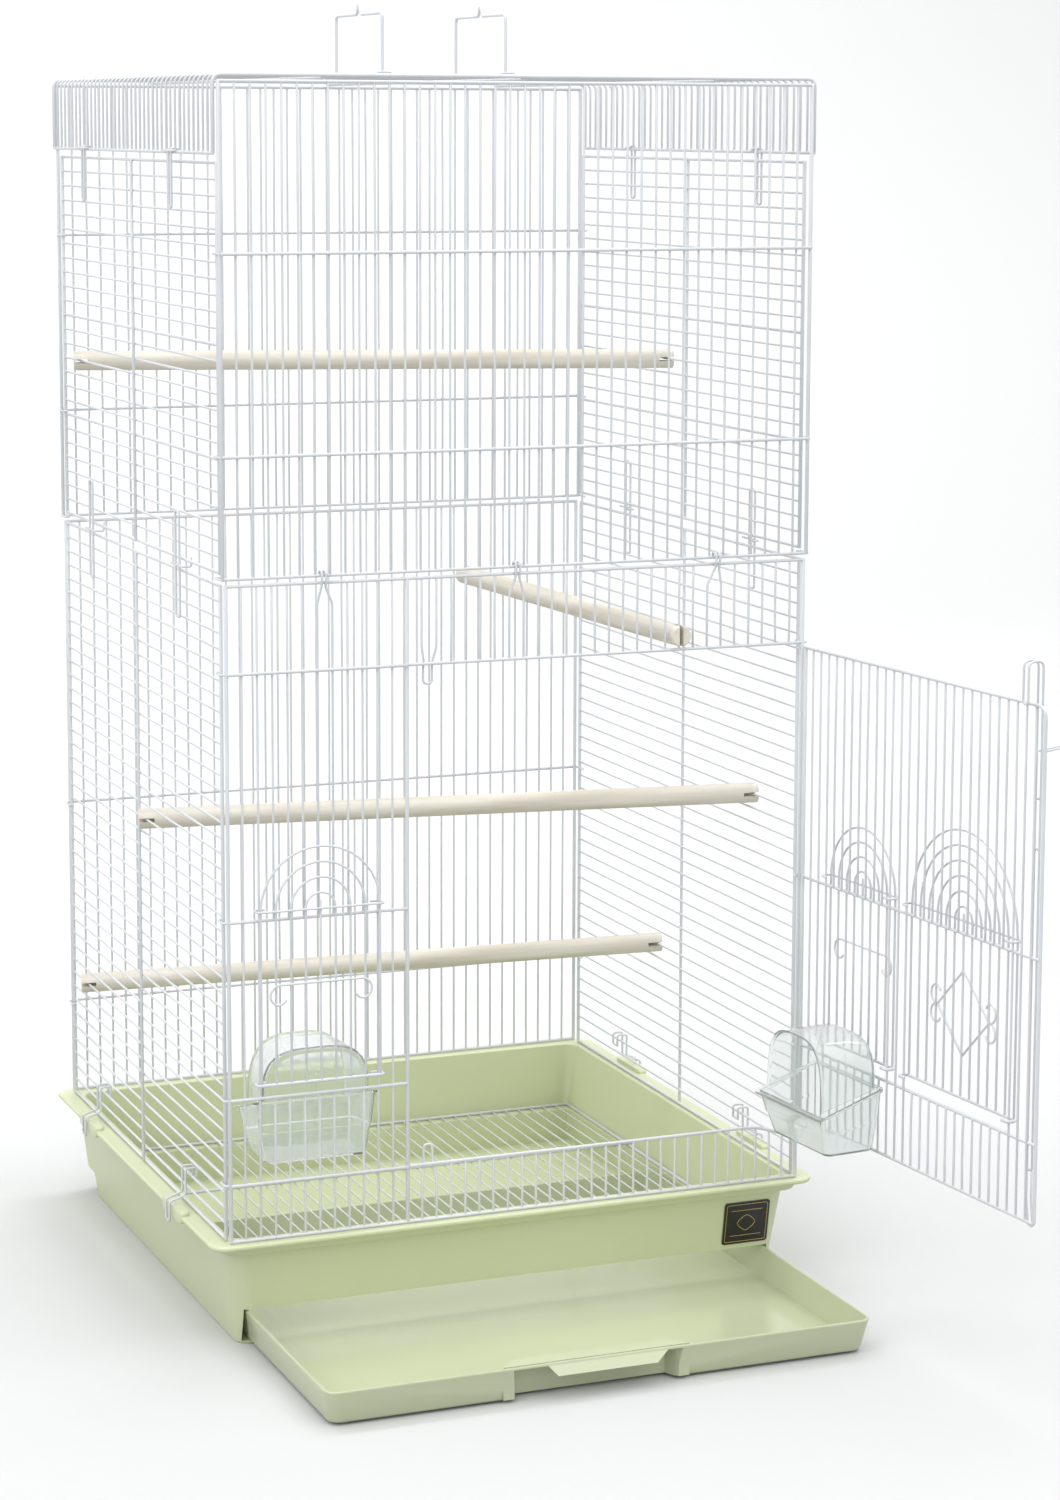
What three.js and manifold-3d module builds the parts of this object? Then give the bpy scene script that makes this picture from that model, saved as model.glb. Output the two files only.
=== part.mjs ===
// Bird cage of white wire panels on a green moulded base with a pull-out tray.
// Millimetres, +Z up, +X to the right along the front, +Y to the back.
// The origin is the centre of the base's flat underside.
import * as THREE from "three";
import Module from "manifold-3d";
import { ConvexGeometry } from "three/addons/geometries/ConvexGeometry.js";
import { mergeVertices } from "three/addons/utils/BufferGeometryUtils.js";

const wasm = await Module();
wasm.setup();

// ---- driving dimensions ----------------------------------------------------
const PITCH = 11.43; // wire spacing, centre to centre
const FRONT_SPACES = 40; // spaces across the front
const ROOF_SPACES_DEEP = 38; // roof wires run left to right, this many spaces front to back
const CAGE_HALF_W = (FRONT_SPACES * PITCH) / 2;
const CAGE_HALF_D = (ROOF_SPACES_DEEP * PITCH) / 2;
const ROOF_Z = 915.6; // centre line of the roof wires
const SEAM_Z = 563; // between the upper and the lower panels
const RIM_Z = 84; // top face of the base rim
const GAP = 0.3; // clearance between pieces that rest on one another
const FILL = 0.8; // radius of a fill wire
const RAIL = 1.1; // half width of a cross rail
const EDGE = 1.3; // half width of an edge wire
const RAIL_OUT = 1.9; // how far a cross rail stands out of the fill wires' plane

const FRONT_Y = -(CAGE_HALF_D + 2 * EDGE + GAP); // centre plane of the front panels
const SIDE_X = CAGE_HALF_W - 2 * EDGE; // centre plane of the side panels
const CORNER_DEPTH = 9; // the side panels' edge wires stop this far behind the front panels
const SIDE_HALF_D = -FRONT_Y - CORNER_DEPTH;
const UPPER_HALF_W = CAGE_HALF_W - 1.5; // front and back upper panels
const LOWER_HALF_W = CAGE_HALF_W - 3.6; // front and back lower panels
const UPPER_TOP_Z = ROOF_Z - 2 * EDGE - 2;
const UPPER_BOTTOM_Z = SEAM_Z + 2.6;
const LOWER_TOP_Z = SEAM_Z - 2.4;
const LOWER_BOTTOM_Z = RIM_Z + GAP + RAIL + 0.2;
const UPPER_RAILS = [SEAM_Z + 88.4, SEAM_Z + 229.5];
const SKIRT_BOTTOM = ROOF_Z - 53.9; // the roof's sides reach down to here
const SIDE_UPPER_TOP = SKIRT_BOTTOM - 6.7;
const SIDE_UPPER_BOTTOM = SEAM_Z + 6.2;
const SIDE_UPPER_SPACES = 25;
const SIDE_THICK_WIRES = [7, 14]; // spaces above the bottom rail
const SIDE_LOWER_TOP = SEAM_Z - 2.7;
const SIDE_LOWER_SPACES = 42;
const SIDE_UPPER_STEP = (SIDE_UPPER_TOP - SIDE_UPPER_BOTTOM) / SIDE_UPPER_SPACES;
const SIDE_LOWER_STEP = (SIDE_LOWER_TOP - LOWER_BOTTOM_Z) / SIDE_LOWER_SPACES;
const BACK_LOWER_RAILS = [RIM_Z + 76.5, RIM_Z + 244];

const SKIRT_X = CAGE_HALF_W + 1.8; // roof wires bend down outside the side panels
const ROOF_BEND = 7;

const LOWER_STEP = (2 * LOWER_HALF_W) / FRONT_SPACES;
const LEFT_SECTION = 12; // spaces from the left post to the door opening
const LATCH_X = -LOWER_HALF_W + 13.5 * LOWER_STEP; // midway between two wires of the band
const BAND_Z = SEAM_Z - 64.8; // rail above the door opening
const SILL_Z = RIM_Z + 43.4; // rail below the door opening
const FEEDER_BOTTOM_Z = RIM_Z + 106;
const FEEDER_TOP_Z = FEEDER_BOTTOM_Z + 130;
const FEEDER_CENTRE = 6;
const FEEDER_SPAN = 4;

const DOOR_SPACES = 28;
const DOOR_HINGE_GAP = 5.5; // from the post's centre to the door's first wire
const DOOR_FREE_GAP = 4.3; // from the door's last wire to the opening's other post
const DOOR_SPAN = (FRONT_SPACES - LEFT_SECTION) * LOWER_STEP - DOOR_HINGE_GAP - DOOR_FREE_GAP;
const DOOR_STEP = DOOR_SPAN / DOOR_SPACES;
const DOOR_TOP_Z = BAND_Z - 3.3;
const DOOR_BOTTOM_Z = SILL_Z + 7.3;
const DOOR_OPEN = 95.5; // degrees, as built
const DOOR_FEEDER_CENTRE = 7;
const BIRD_DOOR_CENTRE = 19;
const BIRD_DOOR_SPAN = 6;
const SLIDER_OUT = 4.5; // sliding doors stand this far out of the panel's plane
const SLIDER_LIFT = 10; // a sliding door's rails sit this far above the panel's rails

const BASE_HALF_W = CAGE_HALF_W - 14.6; // at the floor
const BASE_HALF_D = CAGE_HALF_D - 18.17;
const WALL_TOP_HALF_W = CAGE_HALF_W - 4.6; // the walls lean out to here
const WALL_TOP_HALF_D = CAGE_HALF_D - 5.17;
const RIM_HALF_W = CAGE_HALF_W + 11.4;
const RIM_HALF_D = CAGE_HALF_D + 9.83;
const WALL = 3;
const FLOOR_T = 2;
const STEP_Z = 20; // the back wall steps out at this height
const LEDGE_Z = 30; // the grille lies on it
const CHANNEL_HALF_W = BASE_HALF_W - 3.5;
const SLOT_TOP = LEDGE_Z - 2;

const TRAY_HALF_W = CHANNEL_HALF_W - 2;
const TRAY_LENGTH = 2 * BASE_HALF_D - 4;
const TRAY_TOP = SLOT_TOP - 1.5;
const TRAY_OUT = 172; // how far the tray is pulled out, as built
const TRAY_WALL = 2;

const PERCH_R = 7.75;
const SLOT_DEPTH = 12;
const SLOT_W = 3.2;
const PERCH_OUT = 5; // a perch end reaches this far past the wires' plane

const HANDLE_SPACES = 5; // the brackets stand on the roof wires this many spaces from the middle
const HANDLE_HALF = HANDLE_SPACES * PITCH - 4.15;
const HANDLE_X = [-48, 51];
const HANDLE_H = 46;

const CLIP_SPACES = 10.5; // the clips sit midway between two roof wires
const CLIP_Y = [-CLIP_SPACES * PITCH, CLIP_SPACES * PITCH];

// ---- materials -------------------------------------------------------------
const white = { color: 0xe9ebee, roughness: 0.35, metalness: 0.1 };
const green = { color: 0xc3cfa4, roughness: 0.38, metalness: 0 };
const clear = { color: 0xe8eef0, roughness: 0.1, metalness: 0, transparent: true, opacity: 0.45 };
const wood = { color: 0xdccbaa, roughness: 0.7, metalness: 0 };
const dark = { color: 0x1e1c1b, roughness: 0.5, metalness: 0 };

// ---- solids ----------------------------------------------------------------
const v3 = (x, y, z) => new THREE.Vector3(x, y, z);

function solid(geometry) {
  const bare = geometry.clone();
  bare.deleteAttribute("normal");
  bare.deleteAttribute("uv");
  const merged = mergeVertices(bare, 1e-4);
  return new wasm.Manifold(new wasm.Mesh({
    numProp: 3,
    vertProperties: new Float32Array(merged.attributes.position.array),
    triVerts: new Uint32Array(merged.index.array),
  }));
}

function union(geometries) {
  return wasm.Manifold.union(geometries.map(solid));
}

function toGeometry(body) {
  const mesh = body.getMesh();
  const geometry = new THREE.BufferGeometry();
  geometry.setAttribute("position", new THREE.BufferAttribute(mesh.vertProperties, 3));
  geometry.setIndex(new THREE.BufferAttribute(mesh.triVerts, 1));
  geometry.computeVertexNormals();
  return geometry;
}

// A straight wire from a to b. Three-sided wires keep a flat side towards -Y.
function wire(a, b, size, sides = 4) {
  const along = b.clone().sub(a);
  const radius = sides === 4 ? size * Math.SQRT2 : size * 1.3;
  const start = sides === 4 ? Math.PI / 4 : 0;
  const geometry = new THREE.CylinderGeometry(radius, radius, along.length(), sides, 1, false, start);
  const y = along.normalize();
  const inward = Math.abs(y.y) > 0.9 ? v3(0, 0, 1) : v3(0, 1, 0);
  const x = y.clone().cross(inward).normalize();
  const z = x.clone().cross(y);
  geometry.applyMatrix4(new THREE.Matrix4().makeBasis(x, y, z));
  const centre = a.clone().add(b).multiplyScalar(0.5);
  return geometry.translate(centre.x, centre.y, centre.z);
}

const fill = (a, b) => wire(a, b, FILL, 3);
const rail = (a, b) => wire(a, b, RAIL);
const edge = (a, b) => wire(a, b, EDGE);

// A curve through given points, one step per point, so a bend has just the facets asked for.
class BentLine extends THREE.Curve {
  constructor(points) {
    super();
    this.points = points;
  }

  getPoint(t) {
    const s = t * (this.points.length - 1);
    const i = Math.min(Math.floor(s), this.points.length - 2);
    return this.points[i].clone().lerp(this.points[i + 1], s - i);
  }

  getPointAt(u) {
    return this.getPoint(u);
  }

  getTangentAt(u) {
    const i = Math.round(u * (this.points.length - 1));
    const before = this.points[Math.max(i - 1, 0)];
    const after = this.points[Math.min(i + 1, this.points.length - 1)];
    return after.clone().sub(before).normalize();
  }
}

// Cuts each inner corner of a path with two points at distance r from it.
function roundCorners(points, r) {
  const out = [points[0]];
  for (let i = 1; i < points.length - 1; i++) {
    const back = points[i - 1].clone().sub(points[i]);
    const ahead = points[i + 1].clone().sub(points[i]);
    const cut = Math.min(r, back.length() * 0.45, ahead.length() * 0.45);
    out.push(points[i].clone().add(back.setLength(cut)));
    out.push(points[i].clone().add(ahead.setLength(cut)));
  }
  out.push(points[points.length - 1]);
  return out;
}

// A bent wire along a path.
function bent(points, size, cornerCut = 0, sides = 4) {
  const path = cornerCut > 0 ? roundCorners(points, cornerCut) : points;
  const shape = new THREE.Shape();
  for (let i = 0; i < sides; i++) {
    const a = ((i + 0.5) * 2 * Math.PI) / sides;
    const r = sides === 4 ? size * Math.SQRT2 : size * 1.2;
    if (i === 0) shape.moveTo(r * Math.cos(a), r * Math.sin(a));
    else shape.lineTo(r * Math.cos(a), r * Math.sin(a));
  }
  return new THREE.ExtrudeGeometry(shape, {
    steps: path.length - 1,
    bevelEnabled: false,
    extrudePath: new BentLine(path),
  });
}

// Points of a rounded rectangle at height z.
function ring(halfX, halfY, r, z, centreY = 0, cornerSteps = 3) {
  const points = [];
  for (const [sx, sy, start] of [[1, 1, 0], [-1, 1, 1], [-1, -1, 2], [1, -1, 3]]) {
    for (let i = 0; i <= cornerSteps; i++) {
      const a = (start + i / cornerSteps) * (Math.PI / 2);
      points.push(v3(
        sx * (halfX - r) + r * Math.cos(a),
        centreY + sy * (halfY - r) + r * Math.sin(a),
        z,
      ));
    }
  }
  return points;
}

const block = (...rings) => new ConvexGeometry(rings.flat());

function box(x0, x1, y0, y1, z0, z1) {
  const geometry = new THREE.BoxGeometry(x1 - x0, y1 - y0, z1 - z0);
  return geometry.translate((x0 + x1) / 2, (y0 + y1) / 2, (z0 + z1) / 2);
}

function cut(geometry, holes) {
  return solid(geometry).subtract(union(holes));
}

const root = new THREE.Group();

function addMesh(name, body, material, parent = root) {
  const geometry = body.isBufferGeometry ? body : toGeometry(body);
  const mesh = new THREE.Mesh(geometry, new THREE.MeshStandardMaterial(material));
  mesh.name = name;
  parent.add(mesh);
  return mesh;
}

// ---- wire panels -----------------------------------------------------------
// A panel is built standing in the XZ plane, its outer face towards -Y.
const at = (x, z, out = 0) => v3(x, -out, z);

function panelFrame(halfW, z0, z1) {
  return [
    edge(at(-halfW, z0 - RAIL), at(-halfW, z1 + RAIL)),
    edge(at(halfW, z0 - RAIL), at(halfW, z1 + RAIL)),
    rail(at(-halfW, z0), at(halfW, z0)),
    rail(at(-halfW, z1), at(halfW, z1)),
  ];
}

// Moves a height off the nearest level wire of a side panel, if it is too close to pass it.
function besideWire(height, bottom, step) {
  const wireZ = bottom + Math.round((height - bottom) / step) * step;
  const off = height - wireZ;
  const need = RAIL + FILL + GAP;
  return Math.abs(off) < need ? wireZ + (off < 0 ? -need : need) : height;
}

// A small hook at the end of a rail, which grips the side panel's edge wire.
function gripHook(side, halfW, railZ) {
  const reach = EDGE + GAP + FILL + 0.5;
  const z = railZ > SEAM_Z + 10
    ? besideWire(railZ, SIDE_UPPER_BOTTOM, SIDE_UPPER_STEP)
    : besideWire(railZ, LOWER_BOTTOM_Z, SIDE_LOWER_STEP);
  const back = -FRONT_Y - SIDE_HALF_D + reach;
  return bent([
    at(side * (halfW - 1), z),
    at(side * (SIDE_X + reach), z),
    at(side * (SIDE_X + reach), z, -back),
    at(side * (SIDE_X - 1), z, -back),
  ], FILL, 1, 3);
}

const bothHooks = (halfW, z) => [gripHook(-1, halfW, z), gripHook(1, halfW, z)];

function uprightPanel(halfW, z0, z1, spaces, railHeights) {
  const parts = panelFrame(halfW, z0, z1);
  const step = (2 * halfW) / spaces;
  for (let i = 1; i < spaces; i++) {
    const x = -halfW + i * step;
    parts.push(fill(at(x, z0), at(x, z1)));
  }
  for (const z of railHeights) {
    parts.push(rail(at(-halfW, z, RAIL_OUT), at(halfW, z, RAIL_OUT)));
  }
  return parts;
}

function levelPanel(halfW, z0, z1, spaces, thick) {
  const parts = panelFrame(halfW, z0, z1);
  const step = (z1 - z0) / spaces;
  for (let i = 1; i < spaces; i++) {
    const z = z0 + i * step;
    const piece = thick.includes(i) ? rail : fill;
    parts.push(piece(at(-halfW, z), at(halfW, z)));
  }
  parts.push(rail(at(0, z0, RAIL_OUT), at(0, z1, RAIL_OUT)));
  return parts;
}

function stand(name, parts, x, y, turn) {
  const mesh = addMesh(name, union(parts), white);
  mesh.position.set(x, y, 0);
  mesh.rotation.z = turn;
  return mesh;
}

function frontOrBackUpper() {
  const parts = uprightPanel(UPPER_HALF_W, UPPER_BOTTOM_Z, UPPER_TOP_Z, FRONT_SPACES, UPPER_RAILS);
  for (const z of [UPPER_BOTTOM_Z, ...UPPER_RAILS]) parts.push(...bothHooks(UPPER_HALF_W, z));
  return parts;
}

// ---- front lower panel -----------------------------------------------------
const lowerX = (i) => -LOWER_HALF_W + i * LOWER_STEP;

function frontLowerPanel() {
  const parts = panelFrame(LOWER_HALF_W, LOWER_BOTTOM_Z, LOWER_TOP_Z);
  const opening = lowerX(LEFT_SECTION);
  const sillDrop = lowerX(FRONT_SPACES - 3);
  parts.push(edge(at(opening, LOWER_BOTTOM_Z), at(opening, LOWER_TOP_Z)));
  for (let i = 1; i < LEFT_SECTION; i++) {
    const inFeeder = Math.abs(i - FEEDER_CENTRE) < FEEDER_SPAN;
    if (!inFeeder) {
      parts.push(fill(at(lowerX(i), LOWER_BOTTOM_Z), at(lowerX(i), LOWER_TOP_Z)));
      continue;
    }
    parts.push(fill(at(lowerX(i), LOWER_BOTTOM_Z), at(lowerX(i), FEEDER_BOTTOM_Z + 0.4)));
    parts.push(fill(at(lowerX(i), FEEDER_TOP_Z - 0.4), at(lowerX(i), LOWER_TOP_Z)));
  }
  for (let i = LEFT_SECTION + 1; i < FRONT_SPACES; i++) {
    parts.push(fill(at(lowerX(i), BAND_Z), at(lowerX(i), LOWER_TOP_Z)));
    const top = i <= FRONT_SPACES - 3 ? SILL_Z : SILL_Z - (i - FRONT_SPACES + 3) * 3.7;
    parts.push(fill(at(lowerX(i), LOWER_BOTTOM_Z), at(lowerX(i), top)));
  }
  parts.push(rail(at(-LOWER_HALF_W, BAND_Z, RAIL_OUT), at(opening, BAND_Z, RAIL_OUT)));
  parts.push(rail(at(opening, BAND_Z), at(LOWER_HALF_W, BAND_Z)));
  for (const z of [FEEDER_TOP_Z, FEEDER_BOTTOM_Z]) {
    parts.push(rail(at(-LOWER_HALF_W, z, 0.9), at(opening, z, 0.9)));
  }
  parts.push(rail(at(-LOWER_HALF_W, SILL_Z, RAIL_OUT), at(opening, SILL_Z, RAIL_OUT)));
  parts.push(rail(at(opening, SILL_Z), at(sillDrop + 0.5, SILL_Z)));
  parts.push(rail(at(sillDrop, SILL_Z), at(LOWER_HALF_W, SILL_Z - 11)));
  for (const z of [SILL_Z, FEEDER_BOTTOM_Z, FEEDER_TOP_Z, BAND_Z]) {
    parts.push(gripHook(-1, LOWER_HALF_W, z));
  }
  parts.push(gripHook(1, LOWER_HALF_W, BAND_Z));
  return parts;
}

// Catch loops for the latch: a hairpin behind the rail, its ends joined to the rail.
function catchLoop(x, z, drop) {
  const half = 4.6;
  return bent([
    at(x - half, z, 0),
    at(x - half, z, -3.2),
    at(x - half, z - drop, -3.2),
    at(x + half, z - drop, -3.2),
    at(x + half, z, -3.2),
    at(x + half, z, 0),
  ], FILL, 1.2);
}

// Hooks of the front lower panel that reach up over the upper panel's bottom rail.
function seamHook(x) {
  return bent([
    at(x, LOWER_TOP_Z, 0),
    at(x, LOWER_TOP_Z + 1, 3.4),
    at(x, UPPER_BOTTOM_Z + 3.2, 3.4),
    at(x, UPPER_BOTTOM_Z + 3.2, -2.6),
  ], FILL, 1.5);
}

// ---- sliding doors ---------------------------------------------------------
// Wires, nested arches, end loops around two guide wires; origin in the panel's own frame.
function archDoor(x0, step, span, railLow, railHigh) {
  const parts = [];
  const out = SLIDER_OUT;
  for (let r = 1; r <= span; r++) {
    const radius = r * step;
    const steps = r > 2 ? 8 : 6;
    const path = [at(x0 - radius, railLow, out)];
    for (let k = 0; k <= steps; k++) {
      const a = Math.PI - (k * Math.PI) / steps;
      path.push(at(x0 + radius * Math.cos(a), railHigh + radius * Math.sin(a), out));
    }
    path.push(at(x0 + radius, railLow, out));
    parts.push(bent(path, FILL, 0, 3));
  }
  parts.push(fill(at(x0, railLow, out), at(x0, railHigh + 6, out)));
  const reach = span * step + EDGE + GAP + FILL + 0.4;
  for (const [z, front, half] of [[railLow, out, RAIL], [railHigh, out + RAIL_OUT, FILL]]) {
    parts.push(bent([
      at(x0 - reach + 8, z, -2.6),
      at(x0 - reach, z, -2.6),
      at(x0 - reach, z, front),
      at(x0 + reach, z, front),
      at(x0 + reach, z, -2.6),
      at(x0 + reach - 8, z, -2.6),
    ], half, 1.6));
  }
  for (const side of [-1, 1]) {
    const x = x0 + side * span * step;
    parts.push(wire(at(x, railHigh, out), at(x, railHigh, out + RAIL_OUT), FILL * 0.7));
  }
  return parts;
}

// A finger bar with a curl at each end.
function scrollBar(x0, z0, halfW) {
  const out = SLIDER_OUT + 0.9;
  const path = [];
  const curl = (side) => {
    const points = [];
    for (let k = 0; k <= 7; k++) {
      const a = Math.PI / 2 - (k * 1.25 * Math.PI) / 7;
      const r = 8.5 - k * 0.45;
      points.push(at(x0 + side * (halfW - 2 + r * Math.cos(a)), z0 - 8.5 + r * Math.sin(a), out));
    }
    return points;
  };
  path.push(...curl(-1).reverse(), ...curl(1));
  return bent(path, FILL, 0, 3);
}

function diamond(x0, z0, halfW, halfH) {
  const out = SLIDER_OUT + 0.9;
  const corners = [[0, halfH], [halfW, 0], [0, -halfH], [-halfW, 0]];
  const parts = [];
  for (let i = 0; i < 4; i++) {
    const [ax, az] = corners[i];
    const [bx, bz] = corners[(i + 1) % 4];
    parts.push(wire(at(x0 + ax, z0 + az, out), at(x0 + bx, z0 + bz, out), FILL));
  }
  for (const side of [-1, 1]) {
    for (const up of [-1, 1]) {
      const path = [];
      for (let k = 0; k <= 6; k++) {
        const a = -Math.PI / 2 + (k * 1.3 * Math.PI) / 6;
        const r = 8 - k * 0.5;
        path.push(at(
          x0 + side * (halfW + 1 + r * Math.cos(a)),
          z0 + up * (8 + r * Math.sin(a)),
          out,
        ));
      }
      parts.push(bent(path, FILL, 0, 3));
    }
  }
  return parts;
}

// ---- main door -------------------------------------------------------------
// Built shut in the front panel's frame with the hinge post's centre at x = 0.
const doorX = (j) => -DOOR_HINGE_GAP - j * DOOR_STEP;

function mainDoor() {
  const first = doorX(0);
  const last = doorX(DOOR_SPACES);
  const parts = [
    edge(at(first, DOOR_BOTTOM_Z), at(first, DOOR_TOP_Z)),
    edge(at(last, DOOR_BOTTOM_Z), at(last, DOOR_TOP_Z - 7)),
    rail(at(first, DOOR_BOTTOM_Z), at(last, DOOR_BOTTOM_Z)),
    bent([at(first, DOOR_TOP_Z), at(last, DOOR_TOP_Z), at(last, DOOR_TOP_Z - 8)], RAIL, 6),
  ];
  for (let j = 1; j < DOOR_SPACES; j++) {
    const low = Math.abs(j - DOOR_FEEDER_CENTRE) < FEEDER_SPAN;
    const high = Math.abs(j - BIRD_DOOR_CENTRE) < BIRD_DOOR_SPAN;
    const top = j === DOOR_SPACES - 1 ? DOOR_TOP_Z - 0.3 : DOOR_TOP_Z;
    if (!low && !high) {
      parts.push(fill(at(doorX(j), DOOR_BOTTOM_Z), at(doorX(j), top)));
      continue;
    }
    parts.push(fill(at(doorX(j), DOOR_BOTTOM_Z), at(doorX(j), FEEDER_BOTTOM_Z + 0.4)));
    parts.push(fill(at(doorX(j), FEEDER_TOP_Z - 0.4), at(doorX(j), top)));
  }
  for (const z of [FEEDER_TOP_Z, FEEDER_BOTTOM_Z]) {
    parts.push(rail(at(first, z, 0.9), at(last, z, 0.9)));
  }
  for (const z of [DOOR_BOTTOM_Z, FEEDER_BOTTOM_Z, FEEDER_TOP_Z, DOOR_TOP_Z - 1]) {
    parts.push(hingeRing(first, z));
  }
  return parts;
}

// An eye around the hinge post, open towards the door.
function hingeRing(first, z) {
  const r = EDGE * Math.SQRT2 + GAP + FILL + 0.3;
  const path = [at(first, z, 0.6), at(first + 1.8, z, 1.4)];
  for (let k = 1; k <= 7; k++) {
    const a = (3 * Math.PI) / 4 - (k * Math.PI * 1.5) / 8;
    path.push(at(r * Math.cos(a), z, r * Math.sin(a)));
  }
  return bent(path, FILL, 0, 3);
}

// Latch: two rods joined by a hairpin at the top that folds over to the inside.
function doorLatch() {
  const x = LATCH_X - LOWER_HALF_W;
  const half = 2.9;
  const out = SLIDER_OUT - 0.4;
  const hookIn = 8;
  const top = DOOR_TOP_Z + 30;
  const low = DOOR_BOTTOM_Z - 5;
  const parts = [];
  const rodLow = low + 40.3;
  const gripLow = DOOR_TOP_Z - 66.9;
  const gripTop = DOOR_TOP_Z - 28.9;
  for (const s of [-1, 1]) {
    parts.push(bent([
      at(x + s * half, rodLow, out),
      at(x + s * half, top, out),
      at(x + s * half, top, -hookIn),
      at(x + s * half, DOOR_TOP_Z + 1, -hookIn),
    ], FILL, 3));
    parts.push(bent([
      at(x + s * half, rodLow - 0.6, out),
      at(x + s * half, low + 18, out),
      at(x + s * half, low, out + 2),
    ], FILL, 2));
  }
  const cross = [
    [DOOR_TOP_Z + 1, -hookIn], [low, out + 2], [rodLow, out], [gripLow + 2, out], [gripLow - 33, out],
  ];
  for (const [z, o] of cross) {
    parts.push(wire(at(x - half, z, o), at(x + half, z, o), FILL));
  }
  parts.push(bent([
    at(x - 1.2, gripLow, out + 1.3),
    at(x - 1.2, gripTop - 4, out + 1.3),
    at(x - 1.2, gripTop, out + 38),
    at(x + 4.2, gripTop, out + 38),
    at(x + 4.2, gripTop - 4, out + 3),
  ], FILL, 2.5));
  return parts;
}

// ---- cups ------------------------------------------------------------------
// A feeding cup with its back wall at y = 0 and its mouth up; x and z of the back rail as given.
const CUP_HALF_W = 45;
const CUP_DEPTH = 52;
const CUP_H = 48;
const CUP_T = 1.6;

function cupBody() {
  const outer = block(
    ring(CUP_HALF_W - 6, CUP_DEPTH / 2 - 5, 6, -CUP_H, CUP_DEPTH / 2 - 3, 2),
    ring(CUP_HALF_W, CUP_DEPTH / 2, 4, 0, CUP_DEPTH / 2, 2),
  );
  const inner = block(
    ring(CUP_HALF_W - 6 - CUP_T, CUP_DEPTH / 2 - 5 - CUP_T, 4.5, -CUP_H + CUP_T, CUP_DEPTH / 2 - 3, 2),
    ring(CUP_HALF_W - CUP_T, CUP_DEPTH / 2 - CUP_T, 2.6, 1, CUP_DEPTH / 2, 2),
  );
  const lip = block(
    ring(CUP_HALF_W + 2.5, CUP_DEPTH / 2 + 2, 5, 0.2, CUP_DEPTH / 2 + 1.5, 2),
    ring(CUP_HALF_W + 2.5, CUP_DEPTH / 2 + 2, 5, -1.4, CUP_DEPTH / 2 + 1.5, 2),
  );
  return solid(outer).add(solid(lip)).subtract(solid(inner));
}

function archRing(halfW, height, y, grow) {
  const points = [];
  for (let k = 0; k <= 10; k++) {
    const a = (k * Math.PI) / 10;
    points.push(v3((halfW + grow) * Math.cos(a), y, (height + grow) * Math.sin(a)));
  }
  return points;
}

function cupHood() {
  const outer = block(
    archRing(41, 38, 3, 0),
    archRing(38, 33, 20, 0),
    archRing(28, 20, 33, 0),
  );
  const inner = block(
    archRing(41, 38, -5, -CUP_T).concat([v3(-39, -5, -8), v3(39, -5, -8)]),
    archRing(38, 33, 19, -CUP_T).concat([v3(-36, 19, -8), v3(36, 19, -8)]),
    archRing(28, 20, 31.4, -CUP_T).concat([v3(-26, 31.4, -8), v3(26, 31.4, -8)]),
  );
  return solid(outer).subtract(solid(inner));
}

// ---- base, tray, grille ----------------------------------------------------
function baseShell() {
  const depthShift = 6;
  const walls = union([
    block(
      ring(BASE_HALF_W, BASE_HALF_D, 12, 0),
      ring(BASE_HALF_W + 2.6, BASE_HALF_D + 3.2, 12, STEP_Z + 0.5, 0),
    ),
    block(
      ring(BASE_HALF_W + 2.6, BASE_HALF_D + 3.2 + depthShift * 1.6, 12, STEP_Z, depthShift * 1.6),
      ring(WALL_TOP_HALF_W, WALL_TOP_HALF_D + depthShift, 14, RIM_Z - 8, depthShift),
    ),
    block(
      ring(WALL_TOP_HALF_W + 5, WALL_TOP_HALF_D + 8.5, 12, RIM_Z - 10.5, 2),
      ring(WALL_TOP_HALF_W + 7, WALL_TOP_HALF_D + 10.5, 13, RIM_Z - 3.5, 2),
    ),
    block(
      ring(RIM_HALF_W - 1.5, RIM_HALF_D - 1.5, 12, RIM_Z - 4, 0),
      ring(RIM_HALF_W, RIM_HALF_D, 13, RIM_Z - 2.5, 0),
      ring(RIM_HALF_W, RIM_HALF_D, 13, RIM_Z - 0.8, 0),
      ring(RIM_HALF_W - 1, RIM_HALF_D - 1, 12, RIM_Z, 0),
    ),
  ]);
  const hollow = union([
    box(-CHANNEL_HALF_W, CHANNEL_HALF_W, -BASE_HALF_D, BASE_HALF_D - 3, FLOOR_T, LEDGE_Z + 1),
    box(-CHANNEL_HALF_W, CHANNEL_HALF_W, -RIM_HALF_D - 30, -BASE_HALF_D + 5, FLOOR_T, SLOT_TOP),
    block(
      ring(BASE_HALF_W + 0.6, BASE_HALF_D + 0.2 + depthShift, 3, LEDGE_Z, depthShift),
      ring(WALL_TOP_HALF_W - WALL, WALL_TOP_HALF_D - WALL, 11, RIM_Z + 2, 0),
    ),
  ]);
  let body = walls.subtract(hollow);
  for (const y of CLIP_Y) {
    for (const s of [-1, 1]) {
      body = body.add(solid(box(
        Math.min(s * (RIM_HALF_W - 7), s * (RIM_HALF_W + 1.5)),
        Math.max(s * (RIM_HALF_W - 7), s * (RIM_HALF_W + 1.5)),
        y - 25, y + 25, RIM_Z - 6, RIM_Z + 3,
      )));
    }
  }
  return body;
}

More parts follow.
